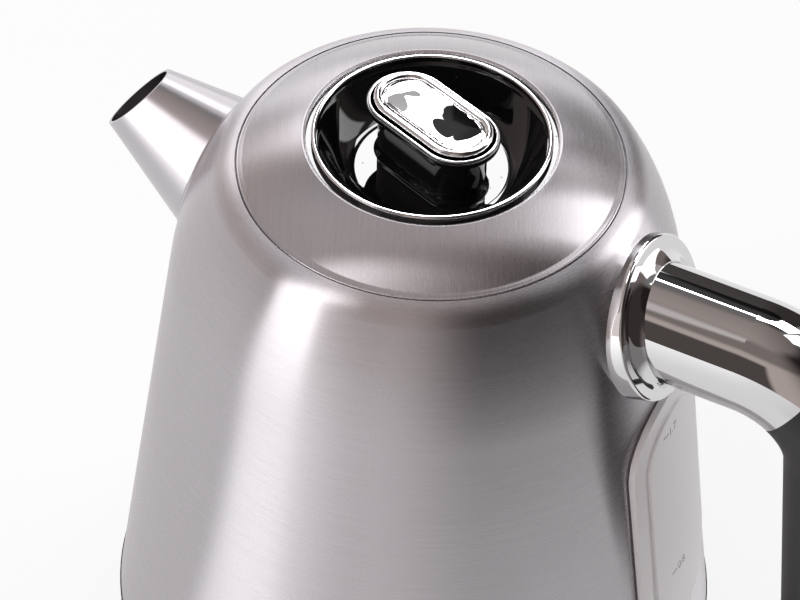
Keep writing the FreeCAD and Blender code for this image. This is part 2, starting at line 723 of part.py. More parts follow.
def mouth_collar():
    """The stepped ring inside the mouth, with the ledge that the lid sits on."""
    ledge = seam - LEDGE_DROP
    wall_in = lid_r + COLLAR_GAP
    collar = turned(
        (wall_in, seam), (wall_in, ledge), (COLLAR_BORE_R, ledge), (COLLAR_BORE_R, seam - COLLAR_DEPTH),
        (COLLAR_BORE_R + COLLAR_WALL, seam - COLLAR_DEPTH),
        (COLLAR_BORE_R + COLLAR_WALL, ledge - COLLAR_WALL),
        (wall_in + COLLAR_WALL, ledge - COLLAR_WALL), (wall_in + COLLAR_WALL, seam))
    node("mouth_collar", collar.common(inside(WALL)))


# ---------------------------------------------------------------- lid


def lid_surface(drop):
    """Return edge, middle and trim points of the lid ring's top, lowered by drop."""
    edge = (lid_r - 2 * EDGE_BEAD_R, seam + EDGE_UP - drop)
    trim = (TRIM_R, seam + TRIM_H - drop)
    middle = ((edge[0] + trim[0]) / 2, (edge[1] + trim[1]) / 2 + RING_BULGE)
    return edge, middle, trim


def lid():
    """The steel ring, the bead, the dark dish with its knob, and the pan underneath."""
    edge, middle, trim = lid_surface(0.0)
    low_edge, low_middle, low_trim = lid_surface(LID_WALL)
    skirt_low = seam - LEDGE_DROP + LID_REST_GAP
    bevel = (TRIM_R - BEVEL_W, seam + TRIM_H - BEVEL_DROP)
    bead_top = (lid_r - EDGE_BEAD_R, seam + EDGE_UP + EDGE_BEAD_R)
    steel = turned(
        (lid_r, skirt_low), (lid_r, seam + EDGE_UP), (bead_top, edge), (middle, trim), bevel,
        (bevel[0], bevel[1] - LID_WALL), low_trim, (low_middle, low_edge),
        (lid_r - LID_WALL, low_edge[1] - LID_WALL / 2), (lid_r - LID_WALL, skirt_low))
    node("lid_ring", steel)

    flange = seam + TRIM_H - DISH_DROP
    bead_out = TRIM_R - BEVEL_W - VALLEY_W
    bead_in = bead_out - BEAD_W
    round_r = BEAD_W / 2
    bead = turned(
        (bead_in, flange), (bead_out, flange), (bead_out, flange + BEAD_H - round_r),
        ((bead_in + round_r, flange + BEAD_H), (bead_in, flange + BEAD_H - round_r)))
    node("lid_bead_ring", bead)

    rim_r = bead_in - DISH_RIM_GAP
    side_w = rim_r - DISH_FLOOR_R
    side_r = (side_w ** 2 + DISH_DEPTH ** 2) / (2 * DISH_DEPTH)
    bowl_low = flange - DISH_DEPTH
    centre_z = bowl_low + side_r
    half_angle = math.atan2(side_w, centre_z - flange) / 2

    def side(radius, angle):
        return DISH_FLOOR_R + radius * math.sin(angle), centre_z - radius * math.cos(angle)

    angle_out = math.acos((centre_z - flange + DISH_WALL) / (side_r + DISH_WALL))
    out_end = side(side_r + DISH_WALL, angle_out)
    out_mid = side(side_r + DISH_WALL, angle_out / 2)
    dish = turned(
        (0, bowl_low), (DISH_FLOOR_R, bowl_low), (side(side_r, half_angle), (rim_r, flange)),
        (TRIM_R + DISH_FLANGE_W, flange), (TRIM_R + DISH_FLANGE_W, flange - DISH_WALL), out_end,
        (out_mid, (DISH_FLOOR_R, bowl_low - DISH_WALL)), (0, bowl_low - DISH_WALL))
    dish = dish.common(under_lid_ring()).cut(disc(SCREW_R + HOLE_FIT, 0, bowl_low + PAST))
    node("lid_dish", dish)
    under_bowl = turned(
        (0, bowl_low), (DISH_FLOOR_R, bowl_low), (side(side_r, half_angle), (rim_r, flange)),
        (FAR, flange), (FAR, 0), (0, 0))
    knob(under_bowl, bowl_low)

    pan_r = COLLAR_BORE_R - LID_REST_GAP - SEAL_W
    pan_low = seam - PAN_DEPTH
    pan = disc(pan_r, pan_low, seam + FAR).cut(disc(pan_r - PAN_WALL, pan_low + PAN_WALL, seam + FAR))
    node("lid_pan", pan.common(under_lid_ring()))
    seal_low = pan_low + SEAL_UP
    node("lid_seal", ring(pan_r, pan_r + SEAL_W, seal_low, seal_low + SEAL_H))


def under_lid_ring():
    """Return everything below the underside of the lid's steel ring."""
    low_edge, low_middle, low_trim = lid_surface(LID_WALL)
    return turned(low_edge, (low_middle, low_trim), (0, low_trim[1]), (0, 0), (low_edge[0], 0))


def knob(under_bowl, bowl_low):
    """The dark knob, the bright cap on it, and the screw that comes up from the pan."""
    cap_top = seam + CAP_TOP
    cap_low = cap_top - CAP_T
    neck_low = bowl_low - DISH_DEPTH
    neck = slot_prism(CAP_L - 2 * NECK_INSET, CAP_W - 2 * NECK_INSET, neck_low, cap_low)
    head = slot_prism(CAP_L + 2 * UNDERCUT_OUT, CAP_W + 2 * UNDERCUT_OUT, cap_low - UNDERCUT_T, cap_low)
    head = fillet_ring(head, UNDERCUT_ROUND, cap_low - UNDERCUT_T)
    tip = seam + KNOB_SCREW_UP
    body = neck.cut(under_bowl).fuse(head).removeSplitter().cut(disc(SCREW_R, 0, tip))
    body.rotate(CENTRE, UP, KNOB_ANGLE)
    node("knob_body", body)

    step = cap_top - CAP_STEP
    lower = fillet_ring(slot_prism(CAP_L, CAP_W, cap_low, step), CAP_ROUND, step)
    upper = slot_prism(CAP_L - 2 * CAP_BEAD_W, CAP_W - 2 * CAP_BEAD_W, cap_low, cap_top)
    upper = fillet_ring(upper, CAP_ROUND, cap_top)
    plate_w = PLATE_L - (CAP_L - CAP_W)
    groove = slot_prism(PLATE_L, plate_w, cap_top - PLATE_GROOVE, cap_top + PAST)
    island_l = PLATE_L - 2 * PLATE_GROOVE
    island_w = plate_w - 2 * PLATE_GROOVE
    groove = groove.cut(slot_prism(island_l, island_w, seam, cap_top + PAST))
    cap = lower.fuse(upper).removeSplitter().cut(groove)
    cap.rotate(CENTRE, UP, KNOB_ANGLE)
    node("knob_cap", cap)
    node("knob_screw", screw(0, 0, tip, bowl_low - DISH_WALL - SCREW_HEAD_H))


# ---------------------------------------------------------------- handle

handle_root = vec(shell_radius(seam - HANDLE_DROP), 0, seam - HANDLE_DROP)
tilt_c, tilt_s = unit(FERRULE_TILT)
ferrule_dir = vec(tilt_c, 0, tilt_s)
ferrule_up = vec(-tilt_s, 0, tilt_c)
ferrule_place = FreeCAD.Placement(handle_root, FreeCAD.Rotation(UP, ferrule_dir))
handle_place = FreeCAD.Placement(handle_root, FreeCAD.Rotation(UP, ALONG))
bend_start = handle_root + ALONG * NECK_L
bend_centre = bend_start - UP * BEND_R


def placed(solid, place):
    """Return a solid built about Z, moved so that its axis follows the placement."""
    solid.Placement = place
    return solid


def bolt_axes():
    """Return where the handle's two bolts cross the ferrule's plane."""
    return [handle_root + ferrule_up * (side * BOLT_SPACING / 2) for side in (-1, 1)]


def bolt_bar(at, radius, low, high):
    """Return a round bar along a bolt's axis, between two levels from the ferrule's plane."""
    return Part.makeCylinder(radius, high - low, at + ferrule_dir * low, ferrule_dir)


def on_handle(swept, out=0.0):
    """Return the handle's axis after swept degrees of the bend, moved outwards."""
    c, s = unit(90.0 - swept)
    return bend_centre + vec(c, 0, s) * (BEND_R + out)


def bend(radius, start, end):
    """Return the part of the handle's bend between two swept angles, as a round bar."""
    c, s = unit(-start)
    face = Part.Face(Part.Wire(Part.makeCircle(radius, on_handle(start), vec(c, 0, s))))
    return face.revolve(bend_centre, ACROSS, end - start)


grip_start = on_handle(GRIP_LEAN)
lean_c, lean_s = unit(-GRIP_LEAN)
grip_dir = vec(lean_c, 0, lean_s)


def grip_bar(inset):
    """Return the grip, its surface moved in by inset: bend, taper and rounded end."""
    part = bend(HANDLE_R - inset, NECK_BEND, GRIP_LEAN)
    taper = Part.makeCone(HANDLE_R - inset, GRIP_END_R - inset, GRIP_L, grip_start, grip_dir)
    end = Part.makeSphere(GRIP_END_R - inset, grip_start + grip_dir * GRIP_L)
    return part.fuse([taper, end]).removeSplitter()


def ferrule():
    """A disc square to the flank, with a cove that runs out onto the level neck."""
    round_in = FERRULE_ROUND * (1 - unit(45.0)[0])
    flange = turned(
        (0, -FERRULE_SINK), (FERRULE_R, -FERRULE_SINK), (FERRULE_R, FERRULE_T - FERRULE_ROUND),
        ((FERRULE_R - round_in, FERRULE_T - round_in), (FERRULE_R - FERRULE_ROUND, FERRULE_T)),
        (0, FERRULE_T))
    flange = placed(flange, ferrule_place)
    start = FERRULE_T - FERRULE_ROUND / 2
    sections = []
    for share, narrowed in ((0.0, 0.0), (COVE_MID, COVE_WAIST), (1.0, 1.0)):
        level = start + share * (COVE_L - start)
        long_r = COVE_R + narrowed * (HANDLE_R / tilt_c + COVE_LIP - COVE_R)
        short_r = COVE_R - COVE_OVAL + narrowed * (HANDLE_R + COVE_LIP - COVE_R)
        centre = handle_root + ALONG * (level / tilt_c) * narrowed + ferrule_dir * level * (1 - narrowed)
        ellipse = Part.Ellipse(centre + ferrule_up * long_r, centre + ACROSS * short_r, centre)
        sections.append(Part.Wire(ellipse.toShape()))
    cove = Part.makeLoft(sections, True)
    solid = flange.fuse(cove)
    bore = placed(disc(HANDLE_R + FIT, -HANDLE_R, HANDLE_R), handle_place)
    node("handle_ferrule", solid.cut(bore).cut(inside(0.0)).removeSplitter())


def handle_inside():
    """The neck, the steel core that carries the grip, and the core's bolts."""
    body = inside(0.0)
    tube_start = -FERRULE_SINK - PAST
    neck = placed(disc(HANDLE_R, tube_start, NECK_L), handle_place).fuse(bend(HANDLE_R, 0.0, NECK_BEND))
    bore_r = HANDLE_R - TUBE_WALL
    neck = neck.cut(placed(disc(bore_r, tube_start - PAST, NECK_L), handle_place))
    neck = neck.cut(bend(bore_r, 0.0, NECK_BEND)).cut(body)
    node("handle_neck", neck.removeSplitter())

    half = CORE_T / 2
    side = ACROSS * (CORE_W / 2)
    strap_root = box(handle_root.x - FERRULE_SINK, bend_start.x, -side.y, side.y,
                     handle_root.z - half, handle_root.z + half)
    out = on_handle(0.0, half)
    inn = on_handle(0.0, -half)
    section = Part.Face(Part.makePolygon([out - side, out + side, inn + side, inn - side, out - side]))
    strap_bend = section.revolve(bend_centre, ACROSS, GRIP_LEAN)
    section.rotate(bend_centre, ACROSS, GRIP_LEAN)
    strap_end = section.extrude(grip_dir * CORE_RUN)
    foot = placed(disc(CORE_FOOT_R, -FERRULE_SINK, CORE_FOOT_T), ferrule_place)
    core = foot.fuse([strap_root, strap_bend, strap_end])
    for at in bolt_axes():
        core = core.fuse(bolt_bar(at, BOLT_BOSS_R, 0, BOLT_BOSS_H))
    core = core.cut(body)
    bolts = []
    washers = []
    under_head = -(WALL + WASHER_T)
    for at in bolt_axes():
        core = core.cut(bolt_bar(at, BOLT_R, -FERRULE_SINK, FERRULE_SINK))
        head = bolt_bar(at, BOLT_HEAD_R, under_head - BOLT_HEAD_H, under_head)
        bolts.append(head.fuse(bolt_bar(at, BOLT_R, under_head, BOLT_REACH)).removeSplitter())
        washer = bolt_bar(at, WASHER_R, under_head, FERRULE_SINK)
        washer = washer.cut(bolt_bar(at, BOLT_R + FIT, -FERRULE_SINK, FERRULE_SINK))
        washers.append(washer.common(inside(WALL)))
    node("handle_core", core.removeSplitter())
    node("handle_bolts", *bolts)
    node("handle_washers", *washers)


def grip():
    """Two half shells, split down the handle's middle plane, with two screws."""
    hollow = grip_bar(0.0).cut(grip_bar(GRIP_WALL))
    screws = []
    for share in (GRIP_SCREW_LOW, GRIP_SCREW_HIGH):
        at = grip_start + grip_dir * (share * GRIP_L)
        seat = at + ACROSS * GRIP_SCREW_SEAT
        boss = Part.makeCylinder(GRIP_BOSS_R, 2 * HANDLE_R, at - ACROSS * HANDLE_R, ACROSS)
        hollow = hollow.fuse(boss.common(grip_bar(GRIP_WALL / 2)))
        shank = Part.makeCylinder(SCREW_R, GRIP_SCREW_L, seat, ACROSS * -1)
        pocket = Part.makeCylinder(SCREW_HEAD_R + FIT, FAR, seat, ACROSS)
        hollow = hollow.cut(pocket).cut(shank)
        head = Part.makeCylinder(SCREW_HEAD_R, SCREW_HEAD_H, seat, ACROSS)
        screws.append(head.fuse(shank).removeSplitter())
    node("grip_right", hollow.common(box(0, FAR, -FAR, 0, 0, seam)))
    node("grip_left", hollow.common(box(0, FAR, 0, FAR, 0, seam)))
    node("grip_screws", *screws)


# ---------------------------------------------------------------- window


def window():
    """The pane's flange sits on a gasket; its plug goes through to the retainer."""
    plug_in = WALL + RETAINER_T
    flange = band(-GASKET_T - WINDOW_T, -GASKET_T).common(gauge_prism(WINDOW_R))
    pane = band(-GASKET_T - WINDOW_T - WINDOW_RAISE, -GASKET_T).common(gauge_prism(WINDOW_PANE_R))
    plug = band(-GASKET_T, plug_in).common(gauge_prism(WINDOW_PLUG_R))
    node("window_panel", flange.fuse([pane, plug]).removeSplitter())
    gasket = band(-GASKET_T, 0.0).common(gauge_prism(WINDOW_R - GASKET_INSET))
    node("window_gasket", gasket.cut(gauge_prism(WINDOW_PLUG_R + FIT)))
    retainer = band(WALL, plug_in).common(gauge_prism(WINDOW_R - GASKET_INSET))
    node("window_retainer", retainer.cut(gauge_prism(WINDOW_PLUG_R + FIT)))


# ---------------------------------------------------------------- build and write

for build in (power_base, connector, control, heater, steam_tube, underside, switch, spout, spout_filter,
              body_shell, mouth_collar, lid, ferrule, handle_inside, grip, window):
    build()

os.makedirs("parts", exist_ok=True)
for name, shape in NODES.items():
    shape.exportStep("parts/" + name + ".step")
    print(name, len(shape.Solids), shape.isValid(), round(shape.Volume / 1000.0, 3), "cm3")
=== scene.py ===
import json
import math

import bmesh
import bpy
import numpy as np
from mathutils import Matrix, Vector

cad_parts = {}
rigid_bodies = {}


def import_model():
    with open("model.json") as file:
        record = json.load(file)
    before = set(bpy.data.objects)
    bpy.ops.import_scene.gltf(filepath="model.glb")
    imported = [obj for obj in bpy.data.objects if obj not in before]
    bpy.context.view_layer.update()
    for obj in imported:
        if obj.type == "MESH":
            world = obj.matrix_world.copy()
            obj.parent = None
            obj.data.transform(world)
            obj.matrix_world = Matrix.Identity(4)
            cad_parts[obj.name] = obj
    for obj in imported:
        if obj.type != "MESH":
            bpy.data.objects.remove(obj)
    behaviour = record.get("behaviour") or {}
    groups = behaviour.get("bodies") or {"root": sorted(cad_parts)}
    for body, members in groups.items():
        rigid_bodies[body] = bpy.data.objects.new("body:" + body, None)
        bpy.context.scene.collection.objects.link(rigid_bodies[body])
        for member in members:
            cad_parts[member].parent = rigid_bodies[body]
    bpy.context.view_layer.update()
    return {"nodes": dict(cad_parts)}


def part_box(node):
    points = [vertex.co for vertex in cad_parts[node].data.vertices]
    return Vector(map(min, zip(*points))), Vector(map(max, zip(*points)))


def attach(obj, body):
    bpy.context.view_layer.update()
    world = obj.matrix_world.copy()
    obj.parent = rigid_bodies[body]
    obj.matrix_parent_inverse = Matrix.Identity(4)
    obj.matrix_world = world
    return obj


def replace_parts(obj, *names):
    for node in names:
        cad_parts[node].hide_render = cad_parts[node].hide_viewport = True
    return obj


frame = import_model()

scene = bpy.context.scene

# ---------------------------------------------------------------- the room
# The kettle stands on a wide pale sheet, inside a softly graded tent with lamps behind its cloth.
# A direction has two angles, in degrees: around, 0 to the viewer's right and 90 straight away from
# the viewer, and tilt, from straight up. Polished pieces mirror a sharper set of lamps than satin.

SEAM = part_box("body_shell")[1].z + 0.0003      # the lid's seam, just above the shell's rim
LOOK_TURN = math.radians(26.0)
LOOK_DOWN = math.radians(45.71)
LOOK_ROLL = math.radians(1.94)
LOOK_FROM = 0.7717                             # along the line of sight, to the seam
AIM_RIGHT, AIM_UP = 0.00806, 0.03614           # from the line of sight to the seam's middle
LENS_MM, FILM_MM = 135.0, 36.0
SHEET_REACH = 20.0
CLOTH_TINT = (1.0, 0.85, 0.80, 1.0)
LAMP_TINT = (1.0, 0.99, 1.0, 1.0)
WHITE = (1.0, 1.0, 1.0, 1.0)
LAMPS = (
    # brightness to satin and to mirrors; around from, to, edge; tilt from, to, edge
    (2.4, 0.36, -159, -141, 4, 28, 102, 8),    # a tall soft box in front, on the left
    (3.0, 3.00, 12, 31, 4, 50, 97, 5),         # a strip on the right
    (1.2, 0.24, 113, 128, 3, 50, 62, 3),       # two small lamps at the ends of the back cloth
    (1.2, 0.24, 36, 52, 3, 50, 62, 3),
    (1.3, 0.00, 72, 108, 4, 36, 56, 2),        # the panel behind, as satin takes it
    (0.0, 6.00, 138, 166, 4, 20, 34, 3),       # two strips overhead, which only mirrors show
    (0.0, 3.50, 10, 38, 4, 20, 34, 3))
PANEL_LIGHT = 16.0                             # the panel behind, as mirrors show it


def set_camera():
    """Look along azimuth LOOK_TURN and down by LOOK_DOWN, then roll round the line of sight."""
    c, s = math.cos(LOOK_TURN), math.sin(LOOK_TURN)
    ahead = np.array([-s * math.cos(LOOK_DOWN), c * math.cos(LOOK_DOWN), -math.sin(LOOK_DOWN)])
    right = np.array([c, s, 0.0])
    up = np.cross(right, ahead)
    c, s = math.cos(LOOK_ROLL), math.sin(LOOK_ROLL)
    right, up = c * right + s * up, c * up - s * right
    place = np.array([0.0, 0.0, SEAM]) - AIM_RIGHT * right - AIM_UP * up - LOOK_FROM * ahead
    data = bpy.data.cameras.new("camera")
    data.lens = LENS_MM
    data.sensor_width = FILM_MM
    data.clip_start = 0.05
    data.clip_end = 3 * SHEET_REACH
    camera = bpy.data.objects.new("camera", data)
    matrix = np.eye(4)
    matrix[:3] = np.stack([right, up, -ahead, place], 1)
    camera.matrix_world = matrix.T.tolist()
    scene.collection.objects.link(camera)
    scene.camera = camera


class Field:
    """A shader socket that takes Python's operators: an expression adds the nodes it needs."""

    def __init__(self, tree, socket=None):
        self.tree = tree
        self.socket = socket

    def node(self, kind, settings=None, inputs=None, output=0):
        """Add a node of a kind: its settings first, then the values or links of its sockets."""
        made = self.tree.nodes.new("ShaderNode" + kind)
        for name, value in (settings or {}).items():
            setattr(made, name, value)
        for name, value in (inputs or {}).items():
            if isinstance(value, Field):
                self.tree.links.new(value.socket, made.inputs[name])
            else:
                made.inputs[name].default_value = value
        return Field(self.tree, made.outputs[output] if made.outputs else None)

    def maths(self, operation, *values):
        return self.node("Math", {"operation": operation}, dict(enumerate(values)))

    def __add__(self, other):
        return self.maths("ADD", self, other)

    def __sub__(self, other):
        return self.maths("SUBTRACT", self, other)

    def __rsub__(self, other):
        return self.maths("SUBTRACT", other, self)

    def __mul__(self, other):
        return self.maths("MULTIPLY", self, other)

    def __truediv__(self, other):
        return self.maths("DIVIDE", self, other)

    __radd__ = __add__
    __rmul__ = __mul__

    def root(self):
        return self.maths("SQRT", self)

    def larger(self, other):
        return self.maths("MAXIMUM", self, other)

    def angle(self, right):
        """The angle, in degrees, of a point that lies this far up and so far to the right."""
        return self.maths("ARCTAN2", self, right) * (180 / math.pi)

    def rise(self, low, high):
        """0 below low and 1 above high, with a smooth step between."""
        return self.node("MapRange", {"interpolation_type": "SMOOTHSTEP"},
                         {"Value": self, "From Min": low, "From Max": high})

    def within(self, low, high, soft):
        """1 between low and high, falling to 0 over soft at each end."""
        return self.rise(low - soft, low) * (1 - self.rise(high, high + soft))

    def dot(self, direction):
        """The length of a vector along a direction."""
        return self.node("VectorMath", {"operation": "DOT_PRODUCT"}, {0: self, 1: direction},
                         "Value")

    def parts(self):
        """The three parts of a vector."""
        return [self.node("SeparateXYZ", None, {0: self}, i) for i in range(3)]

    def vector(self, x, y, z):
        return self.node("CombineXYZ", None, {0: x, 1: y, 2: z})

    def noise(self, scale, detail=2.0, rough=0.5):
        """Soft noise at a place, from 0 to 1."""
        return self.node("TexNoise", None, {"Vector": self, "Scale": scale, "Detail": detail,
                                            "Roughness": rough})

    def between(self, first, second):
        """The colour first where this is 0, and second where it is 1."""
        return self.node("Mix", {"data_type": "RGBA"}, {0: self, 6: first, 7: second}, 2)

    def bump(self):
        """A surface that stands this high, in metres."""
        return self.node("Bump", None, {"Strength": 1.0, "Distance": 1.0, "Height": self})


def room_light(direction):
    """The brightness of the tent's cloth and of its lamps in a direction.

    Each is a sum of patches. A patch is 1 inside its limits, and falls smoothly to 0 beyond them.
    """
    c, s = math.cos(LOOK_TURN), math.sin(LOOK_TURN)
    right, away = direction.dot((c, s, 0.0)), direction.dot((-s, c, 0.0))
    up = direction.dot((0.0, 0.0, 1.0))
    around = away.angle(right)
    tilt = up.maths("ARCCOSINE", up) * (180 / math.pi)
    mirror = direction.node("LightPath", output="Is Singular Ray")

    def patch(first, last, edge, top, bottom, rim):
        return around.within(first, last, edge) * tilt.within(top, bottom, rim)

    # The cloth: a roof, a band high up, and all that is lower, with a brighter left and front.
    roof = 1 - tilt.rise(16, 28)
    low = tilt.rise(42, 50)
    high = (1 - roof) * (1 - low)
    left = around.rise(114, 130) + 1 - around.rise(-174, -162)
    front = around.rise(-172, -158) * (1 - around.rise(-104, -62))
    right_side = around.within(4, 44, 12)
    streak = mirror * patch(-136, -114, 4, 58, 92, 5)
    cloth = (0.36 - 0.55 * right) * roof * (1 - 0.35 * mirror) + 0.48 * left * low
    cloth = cloth + 0.45 * front * (high + low * (1 - 0.9 * streak)) + 0.04
    cloth = cloth * (1 - 0.55 * mirror * high) + 0.15 * right_side * low

    # The lamps: a glow behind the high cloth, the lit cloth at the back, and the table of lamps.
    lamps = (0.5 * left + 0.4 * right_side) * high * (1 - 0.55 * mirror)
    back = 0.15 * high + low * (1.5 - 1.47 * mirror) * (1 - 0.6 * tilt.rise(80, 92))
    lamps = lamps + around.within(80, 110, 12) * back
    for satin, mirrored, *limits in LAMPS:
        lamps = lamps + patch(*limits) * (satin + (mirrored - satin) * mirror)

    # The panel behind, in three overlapping pieces, with a ragged dark blot and a grey one on it.
    ragged = direction.noise(9.0, 1.0) * 0.6 - 0.3

    def blot(middle, height, half_wide, half_tall):
        wide, tall = (around - middle) * (1 / half_wide), (tilt - height) * (1 / half_tall)
        return 1 - (wide * wide + tall * tall + ragged).rise(0.8, 1.1)

    panel = patch(82, 103.5, 2, 33, 58, 2).larger(patch(46, 84, 2, 28, 44, 2))
    panel = panel.larger(patch(88, 103.5, 2, 56, 72, 2))
    dark = blot(74.5, 44.5, 11, 12.5).larger(blot(84.5, 39, 5.5, 5))
    grey = blot(100.5, 50.5, 5.5, 7.5).larger(blot(94, 54.5, 4.5, 2.5))
    panel = PANEL_LIGHT * mirror * panel * (1 - 0.998 * dark) * (1 - 0.97 * grey)
    shade = 1 - 0.85 * mirror * dark
    return cloth * shade, lamps * shade + panel


def light_room():
    """Light the tent; where the viewer looks past the kettle it is plain white."""
    world = bpy.data.worlds.new("room")
    scene.world = world
    world.use_nodes = True
    world.node_tree.nodes.clear()
    start = Field(world.node_tree)
    cloth, lamps = room_light(start.node("TexCoord", output="Generated"))
    cloth = start.node("Background", None, {"Color": CLOTH_TINT, "Strength": cloth})
    lamps = start.node("Background", None, {"Color": LAMP_TINT, "Strength": lamps})
    plain = start.node("Background", None, {"Color": WHITE, "Strength": 1.0})
    seen = start.node("LightPath", output="Is Camera Ray")
    lit = start.node("AddShader", None, {0: cloth, 1: lamps})
    start.node("OutputWorld", None,
               {"Surface": start.node("MixShader", None, {0: seen, 1: lit, 2: plain})})


def new_finish(name):
    """A material with an empty tree, and the place on the object, where its expressions start."""
    material = bpy.data.materials.new(name)
    material.use_nodes = True
    material.node_tree.nodes.clear()
    return material, Field(material.node_tree).node("TexCoord", output="Object")


def sheet_finish():
    """A matt white sheet that shows the kettle's shadow but stays bright.

    What mirrors it sees a glow: brighter in front on the left, darker further off on the right.
    """
    material, place = new_finish("pale_sheet")
    c, s = math.cos(LOOK_TURN), math.sin(LOOK_TURN)
    right, away = place.dot((c, s, 0.0)), place.dot((-s, c, 0.0))
    reach = (right * right + away * away).root()
    around = away.angle(right)
    front_left = around.rise(-166, -156) * (1 - around.rise(-150, -110))
    front_right = around.rise(-112, -66) * (1 - around.rise(-8, 6))
    level = (0.95 + 0.8 * front_left - 0.85 * front_right * reach.rise(0.21, 0.50)
             + 0.1 * around.within(50, 130, 15))
    camera, glossy, through = (place.node("LightPath", output="Is %s Ray" % kind)
                               for kind in ("Camera", "Glossy", "Transmission"))
    strength = camera * (1.10 + 0.02 * place.noise(3.0)) + (1 - camera) * level
    glow = place.node("Emission", None, {"Color": WHITE, "Strength": strength})
    matt = place.node("BsdfDiffuse", None, {"Color": (0.88, 0.88, 0.88, 1.0)})
    share = 0.75 * (camera + glossy + through).rise(0.0, 1.0)
    place.node("OutputMaterial", None,
               {"Surface": place.node("MixShader", None, {0: share, 1: matt, 2: glow})})
    return material


def lay_sheet():
    """A flat square, wide enough to reach the horizon."""
    r = SHEET_REACH
    mesh = bpy.data.meshes.new("sheet")
    mesh.from_pydata([(-r, -r, 0), (r, -r, 0), (r, r, 0), (-r, r, 0)], [], [(0, 1, 2, 3)])
    mesh.materials.append(sheet_finish())
    sheet = bpy.data.objects.new("sheet", mesh)
    scene.collection.objects.link(sheet)


set_camera()
light_room()
lay_sheet()
scene.view_settings.view_transform = "Standard"

# ---------------------------------------------------------------- the body
# A spun and pressed shell of stainless steel, brushed while it turns, so that its fine hairs run
# around it. The collar in the mouth, the heater's plate, the steam tube and the lid's pan are the
# same steel, left plain.

STEEL = (0.575, 0.555, 0.58)
PLAIN_STEEL = (0.6, 0.6, 0.59, 1.0)
BODY_HAIR_R = 0.08             # hairs are as long, for their turn, as on a circle of this radius


def surface(material, **sockets):
    """Put one Principled surface on the material; its sockets' names have _ for a space."""
    inputs = {name.replace("_", " "): value for name, value in sockets.items()}
    start = Field(material.node_tree)
    start.node("OutputMaterial", None, {"Surface": start.node("BsdfPrincipled", None, inputs)})
    return material


def dress(finish, *names):
    """Give CAD nodes their finish."""
    for name in names:
        for slot in frame["nodes"][name].material_slots:
            slot.material = finish


def tone(colour, share):
    """A colour made darker or lighter, with its alpha."""
    return tuple(share * v for v in colour) + (1.0,)


def hairs(laid, stretch):
    """Fine streaks, 0.5 on average: noise squeezed by stretch, a scale for each axis."""
    return laid.node("VectorMath", {"operation": "MULTIPLY"}, {0: laid, 1: stretch}).noise(
        1.0, 3.0, 0.62)


def hair_finish(name, lay):
    """Brushed steel whose hairs follow lay, which turns a place into (along, along, across)."""
    material, place = new_finish(name)
    laid = lay(place)
    fine, long = hairs(laid, (110.0, 110.0, 4200.0)), hairs(laid, (40.0, 40.0, 2000.0))
    share = (0.5 * fine + 0.5 * long).rise(0.3, 0.7)
    return surface(material, Base_Color=share.between(tone(STEEL, 0.95), tone(STEEL, 1.05)),
                   Metallic=1.0, Anisotropic=1.0, Anisotropic_Rotation=0.25,
                   Roughness=0.28 + 0.08 * (fine - 0.5) + 0.04 * (place.noise(22.0) - 0.5),
                   Normal=(0.4e-6 * fine + 0.6e-6 * long).bump())


def lay_round(place):
    """Around the upright axis: the turn as a point on a circle, and height less radius across."""
    x, y, z = place.parts()
    radius = (x * x + y * y).root()
    return place.vector(x / radius * BODY_HAIR_R, y / radius * BODY_HAIR_R, z - radius)


dress(hair_finish("brushed_steel_round", lay_round), "body_shell")

plain_steel, place = new_finish("plain_steel")
streak = hairs(lay_round(place), (30.0, 30.0, 1500.0))
surface(plain_steel, Base_Color=PLAIN_STEEL, Metallic=1.0,
        Roughness=0.27 + 0.14 * (streak - 0.5), Normal=(2.0e-6 * streak).bump())
dress(plain_steel, "mouth_collar", "heater_plate", "steam_tube", "lid_pan")

# ---------------------------------------------------------------- the spout
# A short cone of the same steel, rolled, cut at a slant, and welded to the shell. Its satin is
# finer than the body's, and the weld is ground down to a low bead.

SPOUT_AT = np.array([-0.0886, 0.0, SEAM - 0.017])     # on its axis, where its radius is SPOUT_R
SPOUT_RISE = math.radians(26.0)
SPOUT_OUT = np.array([-math.cos(SPOUT_RISE), 0.0, math.sin(SPOUT_RISE)])
SPOUT_UP = np.array([math.sin(SPOUT_RISE), 0.0, math.cos(SPOUT_RISE)])
SIDEWAYS = np.array([0.0, 1.0, 0.0])
SPOUT_SLOPE = math.tan(math.radians(17.0))            # how fast the cone widens
SPOUT_R = 0.0107
SPOUT_HAIR_R = 0.02
WELD_HALF_WIDE, WELD_HIGH = 0.0011, 0.00045
WELD_STEPS, WELD_SIDES = 160, 10
FLANK_FOOT_R, FLANK_FOOT_Z = 0.086593, SEAM - 0.165
FLANK_SLOPE = math.tan(math.radians(8.2))
FLANK_END_Z = 0.158403
SHOULDER_R, SHOULDER_MIDDLE = 0.0914, (-0.022175, 0.145367)


def flank_radius(z):
    """The shell's outer radius at a height: a straight cone, and above it the shoulder's arc."""
    straight = FLANK_FOOT_R - (z - FLANK_FOOT_Z) * FLANK_SLOPE
    middle_r, middle_z = SHOULDER_MIDDLE
    arc = middle_r + np.sqrt(np.maximum(SHOULDER_R ** 2 - (z - middle_z) ** 2, 0.0))
    return np.where(z < FLANK_END_Z, straight, arc)


def close_up(mesh):
    """Merge points that coincide, at poles and seams, and turn every face outwards."""
    work = bmesh.new()
    work.from_mesh(mesh)
    bmesh.ops.remove_doubles(work, verts=work.verts, dist=2e-7)
    bmesh.ops.recalc_face_normals(work, faces=work.faces)
    work.to_mesh(mesh)
    work.free()


